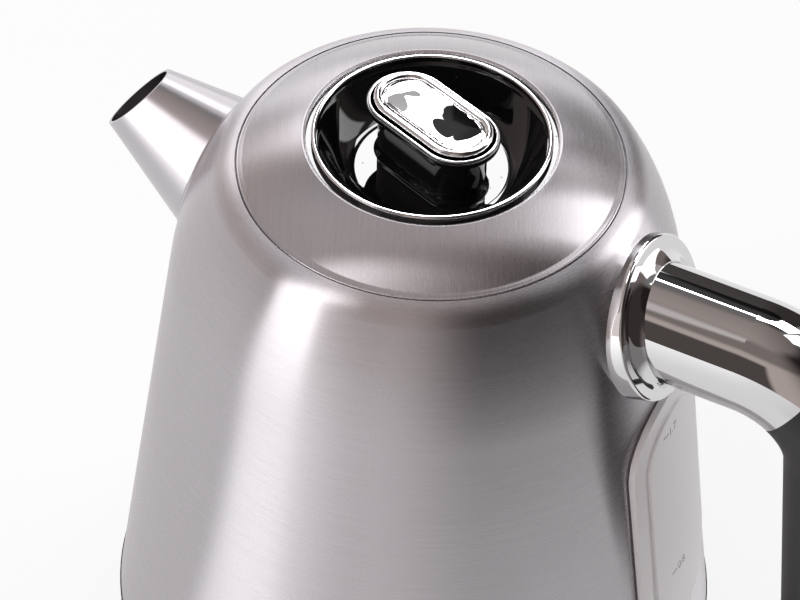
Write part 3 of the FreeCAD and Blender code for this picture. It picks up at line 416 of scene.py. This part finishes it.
def make_piece(name, points, faces, finish, body, sharp=40.0):
    """Turn arrays of points and faces into a piece that rides on a body."""
    mesh = bpy.data.meshes.new(name)
    mesh.from_pydata(points.reshape(-1, 3).tolist(), [], faces)
    mesh.update()
    close_up(mesh)
    mesh.shade_smooth()
    mesh.set_sharp_from_angle(angle=math.radians(sharp))
    mesh.materials.append(finish)
    piece = bpy.data.objects.new(name, mesh)
    scene.collection.objects.link(piece)
    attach(piece, body)
    return piece


def grid_faces(rows, columns, wrap_rows, wrap_columns, first=0):
    """Quads over a grid of points that are numbered row by row."""
    i = np.arange(rows if wrap_rows else rows - 1)[:, None]
    j = np.arange(columns if wrap_columns else columns - 1)[None, :]
    i2, j2 = (i + 1) % rows, (j + 1) % columns
    quads = np.stack([i * columns + j, i * columns + j2, i2 * columns + j2, i2 * columns + j], -1)
    return (quads.reshape(-1, 4) + first).tolist()


def unit(vectors):
    """Each row made 1 long."""
    return vectors / np.linalg.norm(vectors, axis=1)[:, None]


def weld():
    """A low bead: an ellipse carried along the line where the cone meets the shell.

    The distance down each of the cone's lines to the shell is found by halving.
    """
    turn = np.linspace(0, 2 * math.pi, WELD_STEPS, endpoint=False)
    round_cone = np.cos(turn)[:, None] * SPOUT_UP + np.sin(turn)[:, None] * SIDEWAYS

    def on_cone(t):
        return SPOUT_AT - SPOUT_OUT * t[:, None] + (SPOUT_R + t[:, None] * SPOUT_SLOPE) * round_cone

    low, high = np.zeros_like(turn), np.full_like(turn, 0.05)
    for _ in range(40):
        middle = (low + high) / 2
        p = on_cone(middle)
        inside = np.hypot(p[:, 0], p[:, 1]) < flank_radius(p[:, 2])
        low, high = np.where(inside, low, middle), np.where(inside, middle, high)
    path = on_cone(low)
    along = unit(np.roll(path, -1, 0) - np.roll(path, 1, 0))
    away = unit(path * np.array([1.0, 1.0, 0.0])) + round_cone
    away = unit(away - (away * along).sum(1)[:, None] * along)
    across = np.cross(along, away)
    side = np.linspace(0, 2 * math.pi, WELD_SIDES, endpoint=False)[None, :, None]
    points = (path[:, None] + WELD_HALF_WIDE * np.cos(side) * across[:, None]
              + WELD_HIGH * np.sin(side) * away[:, None])
    faces = grid_faces(WELD_STEPS, WELD_SIDES, True, True)
    make_piece("spout_weld", points, faces, spout_steel, "kettle")


def lay_spout(place):
    """Around the spout's axis: the turn as a point on a circle, and the way along it across."""
    moved = place.node("VectorMath", {"operation": "SUBTRACT"}, {0: place, 1: tuple(SPOUT_AT)})
    x, y, z = (moved.dot(tuple(way)) for way in (SPOUT_UP, SIDEWAYS, SPOUT_OUT))
    radius = (x * x + y * y).root()
    return place.vector(x / radius * SPOUT_HAIR_R, y / radius * SPOUT_HAIR_R, z)


spout_steel, place = new_finish("satin_steel")
streak = hairs(lay_spout(place), (40.0, 40.0, 2400.0))
surface(spout_steel, Base_Color=tone(STEEL, 1.0), Metallic=1.0,
        Roughness=0.24 + 0.06 * (streak - 0.5),
        Normal=(0.3e-6 * streak + 1.2e-5 * place.noise(260.0, 1.0)).bump())
dress(spout_steel, "spout")
weld()

# ---------------------------------------------------------------- the spout's filter
# A round of woven stainless wire, moulded into a plastic frame that follows the shell's curve. The
# frame's neck plugs into the hole behind the spout.

SHELL_WALL = 0.0009
WIRE_PITCH, WIRE_R = 0.00085, 0.00012
WIRE_SWING = 0.00011
WIRE_SIDES = 6
FRAME_GAP, FRAME_HALF, MESH_HALF = 0.0003, 0.0012, 0.00025
WEAVE_DEPTH = SHELL_WALL + FRAME_GAP + FRAME_HALF + MESH_HALF    # in from the shell's face


def weave():
    """Wires each way, each a thin tube on a sine in depth, over the shell's shape moved in."""
    low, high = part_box("filter_mesh")
    middle, reach = (low.z + high.z) / 2, (high.z - low.z) / 2 + 0.0002
    count = int(reach / WIRE_PITCH)
    turn = np.linspace(0, 2 * math.pi, WIRE_SIDES, endpoint=False)
    end = np.arange(WIRE_SIDES)
    points, faces, first = [], [], 0
    for way in (0, 1):
        for line in range(-count, count + 1):
            at = (line + 0.5 * way) * WIRE_PITCH
            half = math.sqrt(max(reach ** 2 - at ** 2, 0.0))
            if half < 2 * WIRE_PITCH:
                continue
            along = np.linspace(-half, half, int(4 * half / WIRE_PITCH) + 1)[:, None]
            phase = along / WIRE_PITCH - 0.5 * (1 - way) + line + way
            depth = WEAVE_DEPTH - WIRE_SWING * np.cos(math.pi * phase) - WIRE_R * np.sin(turn)
            over, run = at + WIRE_R * np.cos(turn) + 0 * along, along + 0 * turn
            y, z = (run, over) if way else (over, run)
            radius = flank_radius(middle + z) - depth
            tube = np.stack([-radius * np.cos(y / radius), radius * np.sin(y / radius),
                             middle + z], -1).reshape(-1, 3)
            faces += grid_faces(len(along), WIRE_SIDES, False, True, first)
            faces += [(first + end).tolist(), (first + len(tube) - WIRE_SIDES + end).tolist()]
            points.append(tube)
            first += len(tube)
    net = make_piece("filter_weave", np.concatenate(points), faces, plain_steel, "filter")
    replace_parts(net, "filter_mesh")


weave()

# ---------------------------------------------------------------- the lid's steel ring
# A pressed ring of stainless steel with a rolled edge. It is brushed in straight lines, from side
# to side of the sheet, before it is pressed, so its hairs all run the same way.

LID_HAIR_TURN = math.radians(116.0)
LID_HAIR_ALONG = (math.cos(LID_HAIR_TURN), math.sin(LID_HAIR_TURN), 0.0)
LID_HAIR_ACROSS = (math.sin(LID_HAIR_TURN), -math.cos(LID_HAIR_TURN), 0.0)


def arc_through(first, middle, last, count):
    """Points on the circle through three points, from first to last."""
    a, b, c = (complex(*p) for p in (first, middle, last))
    w = (c - a) / (b - a)
    centre = (b - a) * (w - abs(w) ** 2) / (2j * w.imag) + a
    start, mid, end = (np.angle(p - centre) for p in (a, b, c))
    sweep = (end - start) % (2 * math.pi)
    if (mid - start) % (2 * math.pi) > sweep:
        sweep -= 2 * math.pi
    arc = centre + abs(a - centre) * np.exp(1j * (start + np.linspace(0, sweep, count)))
    return np.stack([arc.real, arc.imag], 1)


def lathe(name, profile, steps, finish, body):
    """A closed profile of (radius, height) carried round the upright axis."""
    radius, height = np.asarray(profile).T[:, :, None]
    turn = np.linspace(0, 2 * math.pi, steps, endpoint=False)
    points = np.stack([radius * np.cos(turn), radius * np.sin(turn), height + 0 * turn], -1)
    return make_piece(name, points, grid_faces(len(radius), steps, True, True), finish, body)


def lid_ring():
    """The ring's section, in mm out from the axis and up from the seam.

    A steel's highlights run round the upright axis of its texture space. That axis is put far off
    to one side, so that the circles round it are straight lines along the hairs.
    """
    section = np.concatenate([
        [(49.1, -5.7), (49.9, -5.7), (50.2, -5.2), (50.25, -0.5)],                   # skirt
        arc_through((50.25, -0.45), (50.1, -0.2), (49.8, -0.1), 6),                  # rolled edge
        arc_through((49.75, -0.08), (49.25, 0.18), (48.75, 0.39), 6)[:-1],
        arc_through((48.7, 0.4), (41.0, 5.135), (33.6, 8.36), 60),                   # low dome
        arc_through((33.45, 8.43), (33.2, 8.46), (32.95, 8.40), 6),                  # its lip
        arc_through((32.55, 8.20), (32.43, 8.10), (32.4, 7.95), 5),                  # bevel
        [(32.4, 7.32), (33.3, 7.67)],
        arc_through((33.3, 7.67), (41.0, 4.335), (48.7, -0.4), 24)[1:],              # underneath
        [(49.1, -0.8)]])
    ring = lathe("lid_steel_ring", section / 1000 + (0.0, SEAM), 256, straight_steel, "lid")
    ring.data.use_auto_texspace = False
    ring.data.texspace_location = [-100 * v for v in LID_HAIR_ACROSS]
    ring.data.texspace_size = (1.0, 1.0, 1.0)
    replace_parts(ring, "lid_ring")


def lay_straight(place):
    """Across the sheet: the way along the hairs, a little of the height, and the way over them."""
    return place.vector(place.dot(LID_HAIR_ALONG), place.dot((0.0, 0.0, 0.05)),
                        place.dot(LID_HAIR_ACROSS))


straight_steel = hair_finish("brushed_steel_straight", lay_straight)
lid_ring()

# ---------------------------------------------------------------- chrome trim
# The lid's bead, the knob's cap, the handle's ferrule and its bent neck are zinc and steel
# pieces, polished and plated with chromium: mirrors, very slightly wavy, with a rare faint smear.

CHROME = (0.74, 0.735, 0.74, 1.0)

chrome, place = new_finish("chrome")
surface(chrome, Base_Color=CHROME, Metallic=1.0,
        Roughness=0.06 * place.noise(45.0, 5.0, 0.7).rise(0.68, 0.86),
        Normal=(6.0e-6 * place.noise(90.0, 1.0)).bump())
dress(chrome, "lid_bead_ring", "handle_ferrule", "handle_neck")

# ---------------------------------------------------------------- the knob's cap
# A die-cast zinc cap, plated like the trim. It has a thin bead at its edge, a fat rolled bead
# above that, and a slightly crowned plate inside a fine groove. It snaps onto the knob's body.

CAP_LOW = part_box("knob_cap")[0].z
CAP_END_R = 0.01045                           # of the slot's round ends
CAP_HALF = 0.00895                            # from its middle to the middle of each end
KNOB_TURN = math.radians(-19.5)
END_STEPS, SIDE_STEPS = 41, 24
PLATE_CROWN = 0.00032
PLATE_FROM, PLATE_HEIGHT = 0.0042, 0.001      # the plate is further in and higher than this
CROWN_WIDE, CROWN_LONG, CROWN_SHIFT = 0.0062, 0.0085, 0.0025
CROWN_PEAK = 1.9                              # how many swells high the bowl is at its middle


def carry_round_slot(name, section, finish, swell=0.0):
    """A section carried round a slot: each point of it is an inset from the outline and a height.

    On the plate the height grows by swell times a bowl turned over, which falls by the square of
    the distance from the slot's middle line, and of the distance along it.
    """
    inset, height = np.asarray(section).T[:, :, None] / 1000
    end = np.radians(np.linspace(-90, 90, END_STEPS))
    side = np.linspace(1, -1, SIDE_STEPS + 2)[1:-1]
    flat = np.full(SIDE_STEPS, math.pi / 2)
    middle = CAP_HALF * np.concatenate([np.ones(END_STEPS), side, -np.ones(END_STEPS), -side])
    turn = np.concatenate([end, flat, end + math.pi, -flat])
    out = CAP_END_R - inset
    x, y = middle + out * np.cos(turn), out * np.sin(turn)
    plate = (inset > PLATE_FROM) & (height > PLATE_HEIGHT)
    bowl = CROWN_PEAK - (out / CROWN_WIDE) ** 2 - ((x + CROWN_SHIFT) / CROWN_LONG) ** 2
    c, s = math.cos(KNOB_TURN), math.sin(KNOB_TURN)
    points = np.stack([c * x - s * y, s * x + c * y, CAP_LOW + height + swell * plate * bowl], -1)
    faces = grid_faces(len(inset), len(turn), False, True)
    return make_piece(name, points, faces, finish, "lid", 60.0)


def knob_cap():
    """The cap's section, in mm in from the outline and up from its foot."""
    plate = np.linspace(4.25, 10.45, 12)
    section = np.concatenate([
        [(10.45, 0.0), (0.3, 0.0)], arc_through((0.2, 0.0), (0.04, 0.06), (0.0, 0.2), 4),   # foot
        arc_through((0.0, 0.32), (0.34, 0.66), (0.68, 0.32), 13),                      # thin bead
        [(0.72, -0.2), (1.4, -0.2)],                                                   # valley
        arc_through((1.45, 0.65), (2.48, 2.05), (3.46, 1.05), 21),                     # fat bead
        [(3.5, 0.4), (3.84, 0.4)],                                                     # groove
        arc_through((3.9, 1.3), (4.0, 1.48), (4.15, 1.53), 4),                         # plate
        np.stack([plate, np.full_like(plate, 1.55)], 1)])
    cap = carry_round_slot("knob_bright_cap", section, chrome, PLATE_CROWN)
    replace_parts(cap, "knob_cap")


knob_cap()

# ---------------------------------------------------------------- glossy black mouldings
# The dish in the lid and the knob's body are moulded in black plastic with a clear shine, a trace
# of orange peel, and a little dust. The dish's flange lies under the bright bead.

DISH_RIM_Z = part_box("lid_dish")[1].z
DISH_FLANGE_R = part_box("lid_dish")[1].x
DISH_FLANGE_WIDE = 0.0061
DISH_R = DISH_FLANGE_R - DISH_FLANGE_WIDE
DISH_WALL = 0.0015
DISH_LIP = 0.0001                             # the face starts this far in and down
DISH_TURN = 0.0014                            # how far out its back meets the flange
DISH_SLOPE_R = (0.0, 0.0197, 0.0201, 0.0222, 0.0255, DISH_R)
DISH_SLOPE = np.radians((0.0, 0.1, 7.0, 32.5, 49.3, 61.1))
GLOSS_BLACK = (0.007, 0.007, 0.008, 1.0)
DUST = (0.10, 0.10, 0.10, 1.0)


def dish_depth(radius):
    """How far the dish's face lies below its rim: its slope at six radii, added up from the rim."""
    along = np.linspace(DISH_R, 0.0, 600)
    slope = np.tan(np.interp(along, DISH_SLOPE_R, DISH_SLOPE))
    step = (along[:-1] - along[1:]) * (slope[:-1] + slope[1:]) / 2
    depth = np.concatenate([[0.0], np.cumsum(step)])
    return np.interp(radius, along[::-1], depth[::-1])


def dish():
    """The dish: a level floor that turns up into a steep side, with a flat flange round it."""
    face = np.linspace(DISH_R, 0.0, 48)
    back = np.linspace(0.0, DISH_R, 24)
    profile = np.concatenate([
        [(DISH_FLANGE_R, DISH_RIM_Z), (DISH_R + DISH_LIP, DISH_RIM_Z)],
        np.stack([face, DISH_RIM_Z - DISH_LIP - dish_depth(face)], 1),
        np.stack([back, DISH_RIM_Z - DISH_WALL - dish_depth(back)], 1),
        [(DISH_R + DISH_TURN, DISH_RIM_Z - DISH_WALL), (DISH_FLANGE_R, DISH_RIM_Z - DISH_WALL)]])
    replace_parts(lathe("lid_black_dish", profile, 192, gloss_black, "lid"),
                "lid_dish")


def knob_body():
    """The knob's body, in mm in from the cap's outline and up from the cap's foot."""
    foot = (DISH_RIM_Z - float(dish_depth(0.0)) - CAP_LOW) * 1000
    section = np.concatenate([
        [(10.45, foot - 1), (1.6, foot - 1), (1.7, foot)],                             # foot
        arc_through((1.9, foot + 0.5), (2.3, foot + 1.4), (2.6, foot + 3.2), 8),       # its flare
        [(2.7, -2.6)],                                                                 # neck
        arc_through((2.4, -2.3), (1.6, -2.15), (0.3, -2.0), 5),                        # collar
        arc_through((0.0, -1.95), (-0.35, -1.6), (-0.5, -1.1), 6),
        arc_through((-0.5, -0.3), (-0.42, -0.06), (-0.2, 0.0), 5), [(10.45, 0.0)]])
    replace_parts(carry_round_slot("knob_black_body", section, gloss_black),
                "knob_body")


gloss_black, place = new_finish("gloss_black")
dust = place.node("TexVoronoi", None, {"Vector": place, "Scale": 420.0})
speck = 1 - dust.rise(0.05, 0.09)
surface(gloss_black, Base_Color=(0.5 * speck).between(GLOSS_BLACK, DUST), Roughness=0.3 * speck,
        IOR=1.55, Normal=(1.5e-6 * place.noise(350.0, 1.0)).bump())
dish()
knob_body()

# ---------------------------------------------------------------- grained mouldings
# The grip, the underside, the lever and the power base are black plastic with a fine spark-eroded
# grain. The control's housings and the filter's frame are pale plastic; the foot ring is rubber,
# the seals are silicone, and the leads are insulated in soft plastic.


def grain_finish(name, colour, rough, grain, depth):
    """A moulded surface with an even fine grain, and a roughness that clouds a little."""
    material, place = new_finish(name)
    pits = place.noise(grain, 3.0, 0.6)
    return surface(material, Normal=(depth * pits).bump(),
                   Base_Color=pits.rise(0.3, 0.7).between(tone(colour, 0.8), tone(colour, 1.2)),
                   Roughness=rough + 0.12 * (place.noise(25.0, 3.0) - 0.5))


for name, colour, rough, grain, depth, nodes in (
        ("matt_black", (0.020, 0.020, 0.021), 0.48, 2600.0, 1.6e-5,
         ("grip_left", "grip_right", "base_moulding", "switch_lever", "base_housing",
          "base_plate", "base_socket", "cord_outlet")),
        ("foot_rubber", (0.03, 0.03, 0.03), 0.75, 1500.0, 1.0e-5, ("base_foot_ring",)),
        ("control_plastic", (0.55, 0.55, 0.52), 0.5, 1800.0, 6.0e-6,
         ("kettle_connector", "control_block", "steam_switch")),
        ("filter_plastic", (0.60, 0.61, 0.62), 0.4, 1800.0, 4.0e-6,
         ("filter_frame", "window_retainer")),
        ("white_silicone", (0.72, 0.72, 0.70), 0.6, 1400.0, 4.0e-6,
         ("lid_seal", "window_gasket", "steam_tube_seal", "handle_washers")),
        ("lead_insulation", (0.10, 0.16, 0.35), 0.45, 1400.0, 3.0e-6,
         ("base_leads", "switch_leads"))):
    dress(grain_finish(name, colour, rough, grain, depth), *nodes)

# ---------------------------------------------------------------- the water window
# A moulded pane of clear plastic, frosted inside. Its flange presses a gasket onto the shell. The
# level marks are printed on its face, in litres.

WINDOW_OUT = 0.00293           # the pane's face, out from the shell's
WATER_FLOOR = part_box("heater_plate")[1].z
MARK_TALL = 0.0025
MARK_LEFT = -0.0070
BAR_LONG, BAR_HALF = 0.0028, 0.0002
NUMBER_FROM = 0.0036           # the number's left edge, from the bar's
INK_HALF = 8e-6                # half the ink's thickness, which also lifts it off the pane

frosted, place = new_finish("frosted_window")
frost = place.noise(1400.0)
surface(frosted, Base_Color=(0.94, 0.94, 0.96, 1.0), Roughness=0.30 + 0.1 * (frost - 0.5),
        Normal=(2.0e-6 * frost).bump())
dress(frosted, "window_panel")

ink, place = new_finish("mark_ink")
worn = place.noise(2500.0)
surface(ink, Roughness=0.5 + 0.1 * (worn - 0.5),
        Base_Color=worn.rise(0.4, 0.75).between((0.27, 0.27, 0.29, 1.0), (0.42, 0.42, 0.44, 1.0)))


def level_of(litres):
    """The height at which the shell holds so much: its round slices added up from the floor."""
    z = np.linspace(WATER_FLOOR, SEAM - 0.05, 400)
    area = math.pi * (flank_radius(z) - SHELL_WALL) ** 2
    held = np.concatenate([[0.0], np.cumsum((area[1:] + area[:-1]) / 2 * np.diff(z))])
    return float(np.interp(litres / 1000, held, z))


def on_window(across, up, side):
    """Wrap flat points round the upright axis, to the back, -1, or the front, 1, of the ink."""
    radius = flank_radius(up) + WINDOW_OUT + INK_HALF * (1 + side)
    return np.stack([radius * np.cos(across / radius), radius * np.sin(across / radius), up], -1)


def level_mark(litres):
    """A number, drawn as a thin slab and wrapped onto the pane, and a bar at its level."""
    name = "mark_%02d" % round(10 * litres)
    letters = bpy.data.curves.new(name, "FONT")
    letters.body = "%.1f" % litres
    letters.extrude = 0.01
    drawn = bpy.data.objects.new(name, letters)
    mesh = bpy.data.meshes.new_from_object(drawn)
    flat = np.empty(3 * len(mesh.vertices))
    mesh.vertices.foreach_get("co", flat)
    flat = flat.reshape(-1, 3)
    faces = [tuple(face.vertices) for face in mesh.polygons]
    bpy.data.batch_remove([drawn, letters, mesh])
    flat[:, :2] -= flat[:, :2].min(0)
    flat[:, :2] *= MARK_TALL / flat[:, 1].max()
    level = level_of(litres)
    points = on_window(MARK_LEFT + NUMBER_FROM + flat[:, 0], level - MARK_TALL / 2 + flat[:, 1],
                       np.sign(flat[:, 2]))
    bar = np.array([(u, v, w) for w in (-1, 1) for v in (-1, 1) for u in (0, 0.25, 0.5, 0.75, 1)])
    strip = on_window(MARK_LEFT + BAR_LONG * bar[:, 0], level + BAR_HALF * bar[:, 1], bar[:, 2])
    back = [len(points) + i for i in (0, 1, 2, 3, 4, 9, 8, 7, 6, 5)]
    front = [10 + i for i in back]
    faces += [back, front]
    faces += [[a, b, b + 10, a + 10] for a, b in zip(back, back[1:] + back[:1])]
    make_piece(name, np.concatenate([points, strip]), faces, ink, "kettle", 30.0)


level_mark(1.7)
level_mark(0.8)

# ---------------------------------------------------------------- metal parts inside
# The element is brazed to an aluminium diffuser under the heater's plate. The handle's core, its
# bolts, the posts and the bimetal disc are plated steel, and the base's contacts are brass.


def metal_finish(name, colour, rough, grain):
    """Plain metal with a faint cast or rolled texture."""
    material, place = new_finish(name)
    pits = place.noise(grain, 4.0)
    return surface(material, Metallic=1.0, Normal=(4.0e-6 * pits).bump(),
                   Base_Color=pits.rise(0.3, 0.7).between(tone(colour, 0.85), tone(colour, 1.08)),
                   Roughness=rough + 0.15 * (pits - 0.5))


dress(metal_finish("aluminium", (0.70, 0.71, 0.72), 0.38, 500.0),
      "heat_diffuser", "heating_element")
zinc = metal_finish("zinc_steel", (0.55, 0.55, 0.54), 0.34, 900.0)
dress(zinc, "handle_core", "handle_bolts", "bimetal_disc", "mounting_posts")
dress(metal_finish("brass", (0.70, 0.52, 0.22), 0.3, 700.0), "base_contacts")

# ---------------------------------------------------------------- screws
# Zinc-plated steel pan-head screws with a cross sunk in the head. They hold the base's plate, the
# kettle's bottom moulding, the two halves of the grip and the knob.

HEAD_HIGH, HEAD_R = 0.0018, 0.0034
CROSS_HALF_WIDE, CROSS_REACH, CROSS_DEEP = 0.0004, 0.00145, 0.001
CROSS_LINES = np.array(
    [-2.0, -1.5, -1.4, -0.9, -0.42, -0.32, 0.32, 0.42, 0.9, 1.4, 1.5, 2.0]) / 1000
TO_RIGHT = (1.0, 0.0, 0.0)


def cross_screw(out, length):
    """A screw's points and faces: a square grid with a cross sunk in it, then loops over the head.

    The loops run round the grid's edge, out over the head, under it, and down to the blunt tip.
    """
    a, b = np.meshgrid(CROSS_LINES, CROSS_LINES, indexing="ij")
    long, thin = np.maximum(abs(a), abs(b)), np.minimum(abs(a), abs(b))
    sunk = (thin < CROSS_HALF_WIDE) & (long < CROSS_REACH)
    top = np.stack([a, b, HEAD_HIGH - CROSS_DEEP * sunk], -1).reshape(-1, 3)
    count = len(CROSS_LINES)
    index = np.arange(count * count).reshape(count, count)
    edge = np.concatenate([index[:-1, 0], index[-1, :-1], index[:0:-1, -1],
                           index[0, :0:-1]]).tolist()
    turn = np.arctan2(top[edge, 1], top[edge, 0])
    radius, height = np.array([
        (2.5, 1.8), (2.9, 1.76), (3.2, 1.6), (1000 * HEAD_R, 1.2), (1000 * HEAD_R, 0.0),
        (1.8, 0.0), (1.8, 0.8 - 1000 * length), (1.1, -1000 * length)]).T[:, :, None] / 1000
    loops = np.stack([radius * np.cos(turn), radius * np.sin(turn), height + 0 * turn], -1)
    loop = [len(top) + i for i in range(len(edge))]
    tip = [i + (len(radius) - 1) * len(edge) for i in loop]
    faces = grid_faces(count, count, False, False)
    faces += grid_faces(len(radius), len(edge), False, True, len(top))
    faces += [list(four) for four in zip(edge, edge[1:] + edge[:1], loop[1:] + loop[:1], loop)]
    faces.append(tip[::-1])
    axes = np.array([TO_RIGHT, np.cross(out, TO_RIGHT), out])
    return np.concatenate([top, loops.reshape(-1, 3)]) @ axes, faces


def screws(node, body, seats, out, length):
    """Replace a node's screws; each seat is where the underside of a head bears."""
    points, faces = cross_screw(np.array(out), length)
    every = [[i + n * len(points) for i in face] for n in range(len(seats)) for face in faces]
    placed = np.concatenate([np.asarray(seat) + points for seat in seats])
    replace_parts(make_piece(node + "_cross", placed, every, zinc, body, 30.0), node)


def ring_of_seats(node, radius, first_angle):
    """Three seats round the upright axis, above the heads' outer faces."""
    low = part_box(node)[0].z + HEAD_HIGH
    turns = np.radians(first_angle + 120 * np.arange(3))
    return [(radius * math.cos(t), radius * math.sin(t), low) for t in turns]


for node, body, seats in (
        ("base_screws", "power_base", ring_of_seats("base_screws", 0.050, 30)),
        ("base_moulding_screws", "kettle", ring_of_seats("base_moulding_screws", 0.070, 60)),
        ("knob_screw", "lid", [(0.0, 0.0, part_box("knob_screw")[0].z + HEAD_HIGH)])):
    low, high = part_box(node)
    screws(node, body, seats, (0.0, 0.0, -1.0), high.z - low.z - HEAD_HIGH)

low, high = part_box("grip_screws")
head_y = high.y - HEAD_HIGH
seats = [(low.x + HEAD_R, head_y, high.z - HEAD_R), (high.x - HEAD_R, head_y, low.z + HEAD_R)]
screws("grip_screws", "kettle", seats, (0.0, 1.0, 0.0), head_y - low.y)

# ---------------------------------------------------------------- indicator lens
# A small lens of clear red polycarbonate. It is pressed into a pocket in the top of the switch's
# lever, near the end that sticks out.

lens_red, place = new_finish("lens_red")
surface(lens_red, Base_Color=(0.55, 0.05, 0.03, 1.0), Roughness=0.12 + 0.05 * place.noise(900.0))
dress(lens_red, "indicator_lens")
